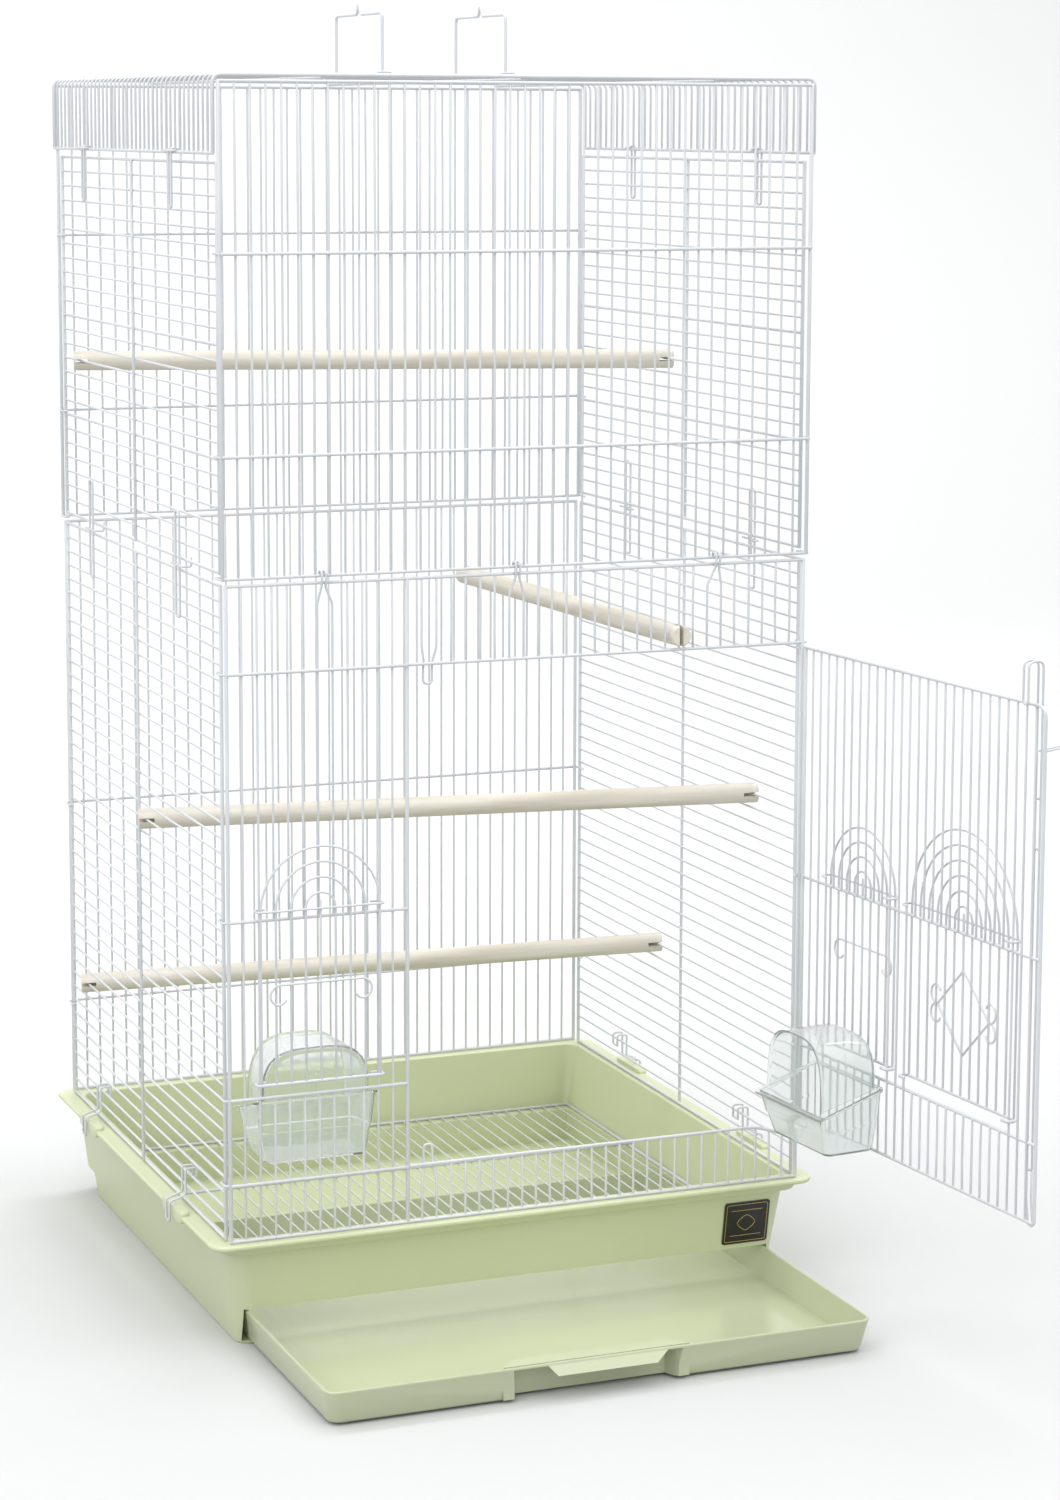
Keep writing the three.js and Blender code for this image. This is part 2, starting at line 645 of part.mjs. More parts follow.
function pullOutTray() {
  const y0 = -BASE_HALF_D - 14;
  const centreY = y0 + TRAY_LENGTH / 2;
  const halfD = TRAY_LENGTH / 2;
  const low = FLOOR_T + GAP;
  const outer = solid(block(
    ring(TRAY_HALF_W - 4, halfD - 5, 9, low, centreY + 1),
    ring(TRAY_HALF_W, halfD, 10, TRAY_TOP, centreY),
  ));
  const inner = solid(block(
    ring(TRAY_HALF_W - 4 - TRAY_WALL, halfD - 5 - TRAY_WALL, 7, low + TRAY_WALL, centreY + 1),
    ring(TRAY_HALF_W - TRAY_WALL, halfD - TRAY_WALL, 8, TRAY_TOP + 1, centreY),
  ));
  const recessOut = solid(block([
    v3(-76, y0 - 9, 0), v3(62, y0 - 9, 0), v3(50, y0 + 16, 0), v3(-64, y0 + 16, 0),
    v3(-76, y0 - 9, TRAY_TOP - 1.6), v3(62, y0 - 9, TRAY_TOP - 1.6),
    v3(50, y0 + 16, TRAY_TOP - 1.6), v3(-64, y0 + 16, TRAY_TOP - 1.6),
  ]));
  const recessWall = solid(block([
    v3(-79, y0 - 9, 0), v3(65, y0 - 9, 0), v3(52, y0 + 18, 0), v3(-66, y0 + 18, 0),
    v3(-79, y0 - 9, TRAY_TOP), v3(65, y0 - 9, TRAY_TOP),
    v3(52, y0 + 18, TRAY_TOP), v3(-66, y0 + 18, TRAY_TOP),
  ])).intersect(outer);
  const pull = solid(block([
    v3(-47, y0 + 0.6, TRAY_TOP), v3(47, y0 + 0.6, TRAY_TOP), v3(36, y0 - 4.5, TRAY_TOP - 7.5),
    v3(-40, y0 - 4.5, TRAY_TOP - 7.5), v3(-47, y0 + 3, TRAY_TOP), v3(47, y0 + 3, TRAY_TOP),
    v3(36, y0 - 2.5, TRAY_TOP - 8.5), v3(-40, y0 - 2.5, TRAY_TOP - 8.5),
  ]));
  return outer.subtract(inner).add(recessWall).subtract(recessOut).add(pull);
}

function floorGrille() {
  const halfX = BASE_HALF_W - 1.4;
  const y0 = -BASE_HALF_D + 4;
  const y1 = BASE_HALF_D + 5;
  const z = LEDGE_Z + GAP + EDGE;
  const spaces = 36;
  const parts = [
    rail(v3(-halfX, y0, z), v3(halfX, y0, z)),
    rail(v3(-halfX, y1, z), v3(halfX, y1, z)),
    wire(v3(-halfX, y0 - EDGE, z), v3(-halfX, y1 + EDGE, z), EDGE),
    wire(v3(halfX, y0 - EDGE, z), v3(halfX, y1 + EDGE, z), EDGE),
  ];
  for (let i = 1; i < spaces; i++) {
    const x = -halfX + (i * 2 * halfX) / spaces;
    parts.push(wire(v3(x, y0, z), v3(x, y1, z), FILL * 0.8, 3));
  }
  for (const y of [y0 + 131, y0 + 262]) {
    parts.push(rail(v3(-halfX, y, z + 2), v3(halfX, y, z + 2)));
  }
  return union(parts);
}

// ---- roof ------------------------------------------------------------------
function roofPanel() {
  const parts = [];
  for (let i = 0; i <= ROOF_SPACES_DEEP; i++) {
    const y = -CAGE_HALF_D + i * PITCH;
    const outer = i === 0 || i === ROOF_SPACES_DEEP;
    parts.push(bent([
      v3(-SKIRT_X, y, SKIRT_BOTTOM),
      v3(-SKIRT_X, y, ROOF_Z),
      v3(SKIRT_X, y, ROOF_Z),
      v3(SKIRT_X, y, SKIRT_BOTTOM),
    ], outer ? EDGE : FILL, ROOF_BEND * 0.75, outer ? 4 : 3));
  }
  for (const s of [-1, 1]) {
    parts.push(wire(
      v3(s * SKIRT_X, -CAGE_HALF_D - RAIL, SKIRT_BOTTOM),
      v3(s * SKIRT_X, CAGE_HALF_D + RAIL, SKIRT_BOTTOM),
      RAIL,
    ));
  }
  const under = ROOF_Z - 2.2;
  for (const x of [-150, 0, 150]) {
    parts.push(wire(v3(x, -CAGE_HALF_D, under), v3(x, CAGE_HALF_D, under), RAIL));
  }
  for (const x of HANDLE_X) {
    for (const s of [-1, 1]) parts.push(handleBracket(x, s * HANDLE_SPACES * PITCH));
  }
  return parts;
}

// A small wire arch over a handle's pin, its feet on a roof wire.
function handleBracket(x, y) {
  const top = ROOF_Z + FILL + GAP + 2 * EDGE + GAP + FILL;
  return bent([
    v3(x - 7.5, y, ROOF_Z),
    v3(x - 5.5, y, top),
    v3(x + 5.5, y, top),
    v3(x + 7.5, y, ROOF_Z),
  ], FILL, 1.5);
}

// A carrying handle: legs, a peak in the middle of the grip, and pins turned out at the feet.
function carryHandle() {
  const pin = 9.5;
  const h = HANDLE_H;
  return bent([
    v3(0, -HANDLE_HALF - pin, 0),
    v3(0, -HANDLE_HALF, 0),
    v3(0, -HANDLE_HALF, h),
    v3(0, -4.5, h),
    v3(0, 0, h + 10),
    v3(0, 4.5, h),
    v3(0, HANDLE_HALF, h),
    v3(0, HANDLE_HALF, 0),
    v3(0, HANDLE_HALF + pin, 0),
  ], 1.15, 2.4);
}

// ---- perches and clips -----------------------------------------------------
// A dowel between two points, slotted at both ends; "across" lies in the slot's plane.
function perch(a, b, across) {
  const along = b.clone().sub(a);
  const length = along.length();
  const y = along.clone().normalize();
  const x = across.clone().sub(y.clone().multiplyScalar(across.dot(y))).normalize();
  const z = x.clone().cross(y);
  const dowel = new THREE.CylinderGeometry(PERCH_R, PERCH_R, length, 14);
  const slots = [-1, 1].map((s) => {
    const slot = new THREE.BoxGeometry(3 * PERCH_R, SLOT_DEPTH * 2, SLOT_W);
    return slot.translate(0, (s * length) / 2, 0);
  });
  const centre = a.clone().add(b).multiplyScalar(0.5);
  const geometry = toGeometry(cut(dowel, slots));
  geometry.applyMatrix4(new THREE.Matrix4().makeBasis(x, y, z).setPosition(centre));
  return geometry;
}

// Snap loop that hangs on a side panel's wire and reaches down over the rim's lug.
function baseClip(side, y) {
  const hang = LOWER_BOTTOM_Z + 2.5 * SIDE_LOWER_STEP;
  const inner = side * (SIDE_X - 4);
  const outer = side * (SIDE_X + 4.6);
  const low = side * (RIM_HALF_W + 3.2);
  const parts = [];
  for (const s of [-4.5, 4.5]) {
    parts.push(bent([
      v3(inner, y + s, hang - 9),
      v3(inner, y + s, hang),
      v3(outer, y + s, hang),
      v3(low, y + s, RIM_Z + 7),
      v3(low, y + s, RIM_Z - 9),
    ], FILL, 2, 3));
  }
  parts.push(wire(v3(inner, y - 5.3, hang - 9), v3(inner, y + 5.3, hang - 9), FILL));
  parts.push(wire(v3(low, y - 5.3, RIM_Z - 9), v3(low, y + 5.3, RIM_Z - 9), FILL));
  return union(parts);
}

// Long hairpin that hangs from the skirt's rail and springs over the side panel's wires.
function roofClip(side, y) {
  const x = side * (SKIRT_X + RAIL + GAP + FILL + 0.3);
  const over = SKIRT_BOTTOM + RAIL + GAP + FILL + 0.3;
  const inside = side * (SKIRT_X - RAIL - GAP - FILL - 0.3);
  const end = SKIRT_BOTTOM - 39.7;
  const parts = [];
  for (const s of [-3.5, 3.5]) {
    parts.push(bent([
      v3(inside, y + s, SKIRT_BOTTOM),
      v3(inside, y + s, over),
      v3(x, y + s, over),
      v3(x, y + s, end),
    ], FILL, 1.2, 3));
  }
  parts.push(wire(v3(x, y - 4.3, end), v3(x, y + 4.3, end), FILL));
  parts.push(wire(v3(x, y - 13, SKIRT_BOTTOM + 1), v3(x, y + 17, SKIRT_BOTTOM + 1), FILL));
  return union(parts);
}

// Double hairpin across the seam between the upper and the lower side panel.
function seamClip(side, y) {
  const x = side * (SIDE_X + RAIL_OUT + RAIL + FILL + 0.5);
  const inside = side * (SIDE_X - RAIL - GAP - FILL - 0.2);
  const ends = [SEAM_Z - 36, SEAM_Z + 41];
  const parts = [];
  for (const s of [-4.8, 4.8]) {
    parts.push(wire(v3(x, y + s, ends[0]), v3(x, y + s, ends[1]), FILL));
  }
  for (const z of ends) {
    parts.push(wire(v3(x, y - 5.6, z), v3(x, y + 5.6, z), FILL));
  }
  const seam = (SIDE_UPPER_BOTTOM + SIDE_LOWER_TOP) / 2;
  parts.push(wire(v3(x, y - 13, seam), v3(x, y + 17, seam), FILL));
  parts.push(bent([
    v3(x, y - 12, seam),
    v3(inside, y - 12, seam),
    v3(inside, y - 12, seam + 7),
  ], FILL, 1.2));
  return union(parts);
}

// ---- assembly --------------------------------------------------------------
addMesh("base_shell", baseShell(), green);

const tray = addMesh("pull_out_tray", pullOutTray(), green);
tray.position.y = -TRAY_OUT;

addMesh("floor_grille", floorGrille(), white);
addMesh("roof_panel", union(roofPanel()), white);

stand("front_upper_panel", frontOrBackUpper(), 0, FRONT_Y, 0);
stand("back_upper_panel", frontOrBackUpper(), 0, -FRONT_Y, Math.PI);

const upperStep = (2 * UPPER_HALF_W) / FRONT_SPACES;
const seamHooks = [6.5, 19.5, 33.5].map((i) => seamHook(-UPPER_HALF_W + i * upperStep));
stand("front_lower_panel", [
  ...frontLowerPanel(),
  ...seamHooks,
  catchLoop(LATCH_X, BAND_Z, 15),
  catchLoop(LATCH_X, SILL_Z, -14),
], 0, FRONT_Y, 0);
stand("back_lower_panel", [
  ...uprightPanel(LOWER_HALF_W, LOWER_BOTTOM_Z, LOWER_TOP_Z, FRONT_SPACES, BACK_LOWER_RAILS),
  ...BACK_LOWER_RAILS.flatMap((z) => bothHooks(LOWER_HALF_W, z)),
], 0, -FRONT_Y, Math.PI);

for (const [word, side] of [["left", -1], ["right", 1]]) {
  stand(`${word}_upper_panel`, levelPanel(
    SIDE_HALF_D, SIDE_UPPER_BOTTOM, SIDE_UPPER_TOP, SIDE_UPPER_SPACES, SIDE_THICK_WIRES,
  ), side * SIDE_X, 0, (side * Math.PI) / 2);
  stand(`${word}_lower_panel`, levelPanel(
    SIDE_HALF_D, LOWER_BOTTOM_Z, SIDE_LOWER_TOP, SIDE_LOWER_SPACES, [],
  ), side * SIDE_X, 0, (side * Math.PI) / 2);
}

const frontFrame = new THREE.Group();
frontFrame.position.y = FRONT_Y;
root.add(frontFrame);
addMesh("front_feeder_door", union([
  ...archDoor(lowerX(FEEDER_CENTRE), LOWER_STEP, FEEDER_SPAN,
    FEEDER_BOTTOM_Z + SLIDER_LIFT, FEEDER_TOP_Z + SLIDER_LIFT - 3),
  scrollBar(lowerX(FEEDER_CENTRE), FEEDER_TOP_Z - 47, 33),
]), white, frontFrame);

const doorFrame = new THREE.Group();
doorFrame.position.set(LOWER_HALF_W, FRONT_Y, 0);
doorFrame.rotation.z = (DOOR_OPEN * Math.PI) / 180;
root.add(doorFrame);
addMesh("main_door", union(mainDoor()), white, doorFrame);
addMesh("door_latch", union(doorLatch()), white, doorFrame);
addMesh("door_feeder_door", union([
  ...archDoor(doorX(DOOR_FEEDER_CENTRE), DOOR_STEP, FEEDER_SPAN,
    FEEDER_BOTTOM_Z + SLIDER_LIFT, FEEDER_TOP_Z + SLIDER_LIFT - 3),
  scrollBar(doorX(DOOR_FEEDER_CENTRE), FEEDER_TOP_Z - 39, 33),
]), white, doorFrame);
addMesh("bird_door", union([
  ...archDoor(doorX(BIRD_DOOR_CENTRE), DOOR_STEP, BIRD_DOOR_SPAN,
    FEEDER_BOTTOM_Z + SLIDER_LIFT, FEEDER_TOP_Z + SLIDER_LIFT - 3),
  ...diamond(doorX(BIRD_DOOR_CENTRE), FEEDER_TOP_Z - 59, 32, 31),
]), white, doorFrame);

const cupSpots = [
  ["front", frontFrame, lowerX(FEEDER_CENTRE)],
  ["door", doorFrame, doorX(DOOR_FEEDER_CENTRE)],
];
for (const [word, parent, x] of cupSpots) {
  const body = addMesh(`${word}_cup`, cupBody(), clear, parent);
  body.position.set(x, 4, FEEDER_BOTTOM_Z - 4);
  const hood = addMesh(`${word}_cup_hood`, cupHood(), clear, parent);
  hood.position.set(x, 4.2, FEEDER_BOTTOM_Z - 4 + 0.2 + GAP);
}

// Each perch end straddles a wire: a level side wire by its number from the bottom, or an upright.
const upperWire = (i) => SIDE_UPPER_BOTTOM + i * SIDE_UPPER_STEP;
const lowerWire = (i) => LOWER_BOTTOM_Z + i * SIDE_LOWER_STEP;
const sideEnd = SIDE_X + PERCH_OUT;
const frontEnd = FRONT_Y - PERCH_OUT;
const besideMiddle = -(RAIL + PERCH_R + 0.15);
const aboveBand = BAND_Z + RAIL + PERCH_R + 1.35;
const sideways = v3(0, 1, 0);
const perches = [
  ["perch_back_high", v3(-sideEnd, 164, upperWire(11)), v3(sideEnd, 33, upperWire(11)), sideways],
  ["perch_middle", v3(-sideEnd, besideMiddle, lowerWire(24)), v3(sideEnd, -134, lowerWire(25)), sideways],
  ["perch_back_low", v3(-sideEnd, 170, lowerWire(9)), v3(sideEnd, 46, lowerWire(11)), sideways],
  ["perch_front_to_back", v3(lowerX(31), -frontEnd, aboveBand - 7.4),
    v3(lowerX(31), frontEnd, aboveBand), v3(0, 0, 1)],
];
for (const [name, a, b, across] of perches) {
  addMesh(name, perch(a, b, across), wood);
}

["left", "right"].forEach((word, i) => {
  const handle = addMesh(`carry_handle_${word}`, carryHandle(), white);
  handle.position.set(HANDLE_X[i], 0, ROOF_Z + FILL + GAP + EDGE);
});

for (const [word, side] of [["left", -1], ["right", 1]]) {
  for (const [end, y] of [["front", CLIP_Y[0]], ["back", CLIP_Y[1]]]) {
    addMesh(`base_clip_${word}_${end}`, baseClip(side, y), white);
    addMesh(`roof_clip_${word}_${end}`, roofClip(side, y), white);
    addMesh(`seam_clip_${word}_${end}`, seamClip(side, y), white);
  }
}

// The label lies along the front wall, which leans out from the step to the rim.
const labelHalfH = 17.5;
const labelZ = SLOT_TOP + 3.5 + labelHalfH;
const wallFoot = BASE_HALF_D + 3.2;
const wallLean = (WALL_TOP_HALF_D - wallFoot) / (RIM_Z - 8 - STEP_Z);
const label = addMesh("base_label_plate", box(-19, 19, -0.4, 0.4, -labelHalfH, labelHalfH), dark);
label.position.set(BASE_HALF_W - 24, -(wallFoot + wallLean * (labelZ - STEP_Z)) - 0.4 - 1.25 * GAP, labelZ);
label.rotation.x = Math.atan(wallLean);

export default root;
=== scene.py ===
"""A bird cage of white wire panels on a green moulded base with a pull-out tray."""
import math

import bpy
import numpy as np
from bpy.props import FloatProperty, FloatVectorProperty, PointerProperty
from mathutils import Matrix, Vector


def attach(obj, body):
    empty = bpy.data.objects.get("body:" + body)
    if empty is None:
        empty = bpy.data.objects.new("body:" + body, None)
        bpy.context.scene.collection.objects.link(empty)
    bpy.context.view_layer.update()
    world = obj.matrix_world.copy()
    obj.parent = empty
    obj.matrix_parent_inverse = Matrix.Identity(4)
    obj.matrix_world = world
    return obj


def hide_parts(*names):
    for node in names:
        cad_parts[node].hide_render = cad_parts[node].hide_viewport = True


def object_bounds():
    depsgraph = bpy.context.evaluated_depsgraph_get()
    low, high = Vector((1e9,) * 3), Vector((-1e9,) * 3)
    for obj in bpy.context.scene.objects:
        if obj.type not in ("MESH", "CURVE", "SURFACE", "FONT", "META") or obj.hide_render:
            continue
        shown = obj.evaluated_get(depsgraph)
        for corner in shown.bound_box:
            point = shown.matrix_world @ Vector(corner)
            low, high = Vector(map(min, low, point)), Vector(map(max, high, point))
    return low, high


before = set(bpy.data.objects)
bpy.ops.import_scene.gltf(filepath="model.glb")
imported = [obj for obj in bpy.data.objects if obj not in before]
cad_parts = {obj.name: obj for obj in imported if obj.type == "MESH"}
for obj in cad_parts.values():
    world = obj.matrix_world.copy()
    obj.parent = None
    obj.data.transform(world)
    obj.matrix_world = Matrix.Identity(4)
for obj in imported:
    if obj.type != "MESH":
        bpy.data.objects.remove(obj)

bl_info = {
    "name": "Wire bird cage",
    "version": (1, 0, 0),
    "blender": (4, 5, 0),
    "location": "View3D > Sidebar > Bird cage",
    "description": "Builds the looks of a wire bird cage round its packed frame",
    "category": "Object",
}

CAD_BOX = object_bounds()

# ---- measures in millimetres, the same as the frame's -----------------------------------------
PITCH = 11.43
FRONT_SPACES = 40
ROOF_SPACES = 38
CAGE_HALF_W = FRONT_SPACES * PITCH / 2
CAGE_HALF_D = ROOF_SPACES * PITCH / 2
ROOF_Z = 915.6
SEAM_Z = 563.0
RIM_Z = 84.0
FILL = 0.8
RAIL = 1.1
EDGE = 1.3
GAP = 0.3
RAIL_OUT = 1.9

FRONT_Y = -(CAGE_HALF_D + 2 * EDGE + GAP)
SIDE_X = CAGE_HALF_W - 2 * EDGE
SIDE_HALF_D = -FRONT_Y - 9
UPPER_HALF_W = CAGE_HALF_W - 1.5
LOWER_HALF_W = CAGE_HALF_W - 3.6
UPPER_TOP_Z = ROOF_Z - 2 * EDGE - 2
UPPER_BOTTOM_Z = SEAM_Z + 2.6
LOWER_TOP_Z = SEAM_Z - 2.4
LOWER_BOTTOM_Z = RIM_Z + GAP + RAIL + 0.2
UPPER_RAILS = (SEAM_Z + 88.4, SEAM_Z + 229.5)
SKIRT_BOTTOM = ROOF_Z - 53.9
SKIRT_X = CAGE_HALF_W + 1.8
UNDER_RAIL_X = (-150.0, 0.0, 150.0)
SIDE_UPPER_TOP = SKIRT_BOTTOM - 6.7
SIDE_UPPER_BOTTOM = SEAM_Z + 6.2
SIDE_UPPER_SPACES = 25
SIDE_LOWER_TOP = SEAM_Z - 2.7
SIDE_LOWER_SPACES = 42
SIDE_UPPER_STEP = (SIDE_UPPER_TOP - SIDE_UPPER_BOTTOM) / SIDE_UPPER_SPACES
SIDE_LOWER_STEP = (SIDE_LOWER_TOP - LOWER_BOTTOM_Z) / SIDE_LOWER_SPACES
BACK_LOWER_RAILS = (RIM_Z + 76.5, RIM_Z + 244)

LOWER_STEP = 2 * LOWER_HALF_W / FRONT_SPACES
LEFT_SECTION = 12
LATCH_WIRES = (13, 14)
LATCH_X = -LOWER_HALF_W + sum(LATCH_WIRES) / 2 * LOWER_STEP
SEAM_HOOKS = (6, 19, 33)
BAND_Z = SEAM_Z - 64.8
SILL_Z = RIM_Z + 43.4
FEEDER_BOTTOM_Z = RIM_Z + 106
FEEDER_TOP_Z = FEEDER_BOTTOM_Z + 130
FEEDER_CENTRE = 6
FEEDER_SPAN = 4

DOOR_SPACES = 28
DOOR_HINGE_GAP = 5.5
DOOR_STEP = ((FRONT_SPACES - LEFT_SECTION) * LOWER_STEP - DOOR_HINGE_GAP - 4.3) / DOOR_SPACES
DOOR_TOP_Z = BAND_Z - 3.3
DOOR_BOTTOM_Z = SILL_Z + 7.3
DOOR_OPEN = 95.5
DOOR_FEEDER_CENTRE = 7
BIRD_DOOR_CENTRE = 19
BIRD_DOOR_SPAN = 6
SLIDER_OUT = 4.5
SLIDER_LOW = FEEDER_BOTTOM_Z + 10
SLIDER_HIGH = FEEDER_TOP_Z + 7

BASE_HALF_W = CAGE_HALF_W - 14.6
BASE_HALF_D = CAGE_HALF_D - 18.17
WALL_TOP_HALF_W = CAGE_HALF_W - 4.6
WALL_TOP_HALF_D = CAGE_HALF_D - 5.17
RIM_HALF_W = CAGE_HALF_W + 11.4
RIM_HALF_D = CAGE_HALF_D + 9.83
LEDGE_Z = 30.0
GRILLE_SPACES = 36
CHANNEL_HALF_W = BASE_HALF_W - 3.5
FLOOR_T = 2.0
SLOT_TOP = LEDGE_Z - 2
TRAY_HALF_W = CHANNEL_HALF_W - 2
TRAY_LENGTH = 2 * BASE_HALF_D - 4
TRAY_TOP = SLOT_TOP - 1.5
TRAY_FRONT_Y = -BASE_HALF_D - 14 - 172

PERCH_R = 7.75
HANDLE_HALF = 5 * PITCH - 4.15
HANDLE_X = (-48.0, 51.0)
HANDLE_H = 46.0
HANDLE_RADIUS = 1.2
CLIP_Y = (-10.5 * PITCH, 10.5 * PITCH)


# ---- surfaces ----------------------------------------------------------------------------------
class Shape:
    """Points in millimetres and their faces, gathered from closed surfaces."""

    def __init__(self):
        self.points = []
        self.faces = []
        self.count = 0

    def add(self, points, *faces):
        """Takes one more closed surface: its points, and arrays of faces over them."""
        points = np.asarray(points, float).reshape(-1, 3)
        self.points.append(points)
        self.faces += [np.asarray(f) + self.count for f in faces]
        self.count += len(points)

    def placed(self, x=0.0, y=0.0, turn=0.0):
        """Turns every point about the upright axis by turn degrees, then moves it by x and y."""
        c, s = math.cos(math.radians(turn)), math.sin(math.radians(turn))
        matrix = np.array([[c, s, 0], [-s, c, 0], [0, 0, 1]])
        self.points = [p @ matrix + (x, y, 0) for p in self.points]
        return self


def unit(vectors):
    """Each vector divided by its own length."""
    return vectors / np.maximum(np.linalg.norm(vectors, axis=-1, keepdims=True), 1e-12)


def at(x, z, out=0.0):
    """Points of a standing panel: x along it, z up, and out towards its outer face (-Y)."""
    return spot(x, -np.asarray(out, float), z)


def spot(x, y, z):
    """Points from their x, y and z, each one number or many."""
    return np.stack(np.broadcast_arrays(*[np.asarray(v, float) for v in (x, y, z)]), axis=-1)


def rounded(points, cut, steps=4):
    """Swaps each inner corner P of a path for the curve (1-s)^2 A + 2 s (1-s) P + s^2 B.

    A and B lie on the two sides of the corner, at most cut away from it. A point may have any number
    of values.
    """
    points = np.asarray(points, float)
    corner, back, ahead = points[1:-1], points[:-2] - points[1:-1], points[2:] - points[1:-1]
    back_length = np.linalg.norm(back, axis=1, keepdims=True)
    ahead_length = np.linalg.norm(ahead, axis=1, keepdims=True)
    reach = np.minimum(np.reshape(cut, (-1, 1)), 0.48 * np.minimum(back_length, ahead_length))
    a = corner + back / back_length * reach
    b = corner + ahead / ahead_length * reach
    s = np.linspace(0, 1, steps + 1)[None, :, None]
    curve = (1 - s) ** 2 * a[:, None] + 2 * s * (1 - s) * corner[:, None] + s**2 * b[:, None]
    return np.concatenate([points[:1], curve.reshape(-1, points.shape[1]), points[-1:]])


def ring_faces(rows, columns):
    """Four-sided faces between the rows of a grid whose columns join up into a ring."""
    i, j = np.meshgrid(np.arange(rows - 1), np.arange(columns), indexing="ij")
    k = (j + 1) % columns
    faces = [i * columns + j, i * columns + k, (i + 1) * columns + k, (i + 1) * columns + j]
    return np.stack(faces, axis=-1).reshape(-1, 4)


def loft(shape, rings, inset=0.97):
    """Joins closed rings, each a turn about the upright axis, and closes the first and the last.

    A slightly smaller copy of each end ring lies in its plane, so that the flat end shades flat.
    """
    ends = rings[[0, -1]]
    centres = ends.mean(axis=1, keepdims=True)
    small = centres + (ends - centres) * inset
    rings = np.concatenate([small[:1], rings, small[1:]])
    rows, columns = rings.shape[:2]
    first = np.arange(columns)[::-1][None]
    last = (rows - 1) * columns + np.arange(columns)[None]
    shape.add(rings, ring_faces(rows, columns), first, last)


def tube(shape, paths, radius, sides=8, across=None):
    """Carries a circle along each path: centre + radius (cos a side + sin a up).

    Side and up are square to the path's direction, and side is also square to "across".
    The circle narrows over the last half radius at each end, where a flat polygon closes it.
    """
    paths = np.asarray(paths, float)
    paths = paths[None] if paths.ndim == 2 else paths
    count = len(paths)
    head = paths[:, :1] + 0.5 * radius * unit(paths[:, 1:2] - paths[:, :1])
    tail = paths[:, -1:] - 0.5 * radius * unit(paths[:, -1:] - paths[:, -2:-1])
    centres = np.concatenate([paths[:, :1], head, paths[:, 1:-1], tail, paths[:, -1:]], axis=1)
    stations = centres.shape[1]
    radii = np.full(stations, float(radius))
    radii[[0, -1]] = 0.62 * radius
    steps = unit(np.diff(centres, axis=1))
    along = unit(np.concatenate([steps[:, :1], steps[:, :-1] + steps[:, 1:], steps[:, -1:]], axis=1))
    if across is None:
        across = np.cross(steps[:, :-1], steps[:, 1:]).sum(axis=1)
        upright = np.abs(along[:, 0, 2:]) > 0.9
        spare = np.where(upright, (0.0, 1.0, 0.0), (0.0, 0.0, 1.0))
        across = np.where(np.linalg.norm(across, axis=1, keepdims=True) < 1e-3, spare, across)
    across = np.broadcast_to(np.asarray(across, float), (count, 3))[:, None]
    side = unit(np.cross(along, across))
    up = np.cross(along, side)
    a = ((np.arange(sides) + 0.5) * 2 * np.pi / sides)[None, None, :, None]
    circle = np.cos(a) * side[:, :, None] + np.sin(a) * up[:, :, None]
    points = centres[:, :, None] + radii[None, :, None, None] * circle
    start = (np.arange(count) * stations * sides)[:, None, None]
    walls = (ring_faces(stations, sides)[None] + start).reshape(-1, 4)
    first = np.arange(sides)[::-1] + start[:, 0]
    last = (stations - 1) * sides + np.arange(sides) + start[:, 0]
    shape.add(points, walls, first, last)


def straight(starts, ends, bow=0.0, seed=1):
    """Paths from starts to ends: start + (end - start) t + bow sin(pi t) sideways, each its own way."""
    starts, ends = np.broadcast_arrays(np.atleast_2d(starts), np.atleast_2d(ends))
    if bow == 0:
        return np.stack([starts, ends], axis=1)
    t = np.linspace(0, 1, 4)[None, :, None]
    along = unit(ends - starts)
    spare = np.where(np.abs(along[:, 2:]) > 0.9, (0.0, 1.0, 0.0), (0.0, 0.0, 1.0))
    side = unit(np.cross(along, spare))
    up = np.cross(along, side)
    random = np.random.default_rng(seed)
    amounts = random.uniform(-bow, bow, (2, len(starts), 1))
    sideways = amounts[0] * side + amounts[1] * up
    return starts[:, None] * (1 - t) + ends[:, None] * t + np.sin(np.pi * t) * sideways[:, None]


def squared(values, power=0.62):
    """A sine or cosine raised to a power with its sign kept: under 1 squares a curve, over 1 points it."""
    return np.sign(values) * np.abs(values) ** power


def box_rings(profile, steps=6, ease=3.0):
    """Rounded rectangles, one for each row of (half width, half depth, corner radius, height, centre y).

    Each corner is centre + radius (cos a, sin a), with one more point on each side of it, "ease" away.
    """
    half_x, half_y, radius, height, middle = np.asarray(profile, float).T[:, :, None]
    rows = []
    for k, (sx, sy) in enumerate(((1, 1), (-1, 1), (-1, -1), (1, -1))):
        u = np.array([math.cos(k * math.pi / 2), math.sin(k * math.pi / 2)]).round(9)
        v = np.array([-u[1], u[0]])
        a = np.linspace(0, np.pi / 2, steps + 1)[None]
        x = sx * (half_x - radius) + radius * (np.cos(a) * u[0] + np.sin(a) * v[0])
        y = middle + sy * (half_y - radius) + radius * (np.cos(a) * u[1] + np.sin(a) * v[1])
        x = np.concatenate([x[:, :1] - ease * v[0], x, x[:, -1:] - ease * u[0]], axis=1)
        y = np.concatenate([y[:, :1] - ease * v[1], y, y[:, -1:] - ease * u[1]], axis=1)
        rows.append(np.stack([x, y, np.broadcast_to(height, x.shape)], axis=-1))
    return np.concatenate(rows, axis=1)


def prism(outline, low, high):
    """An outline carried straight up from one height to the other, as two rings."""
    x, y = np.asarray(outline, float).T
    return spot(x, y, [[low], [high]])


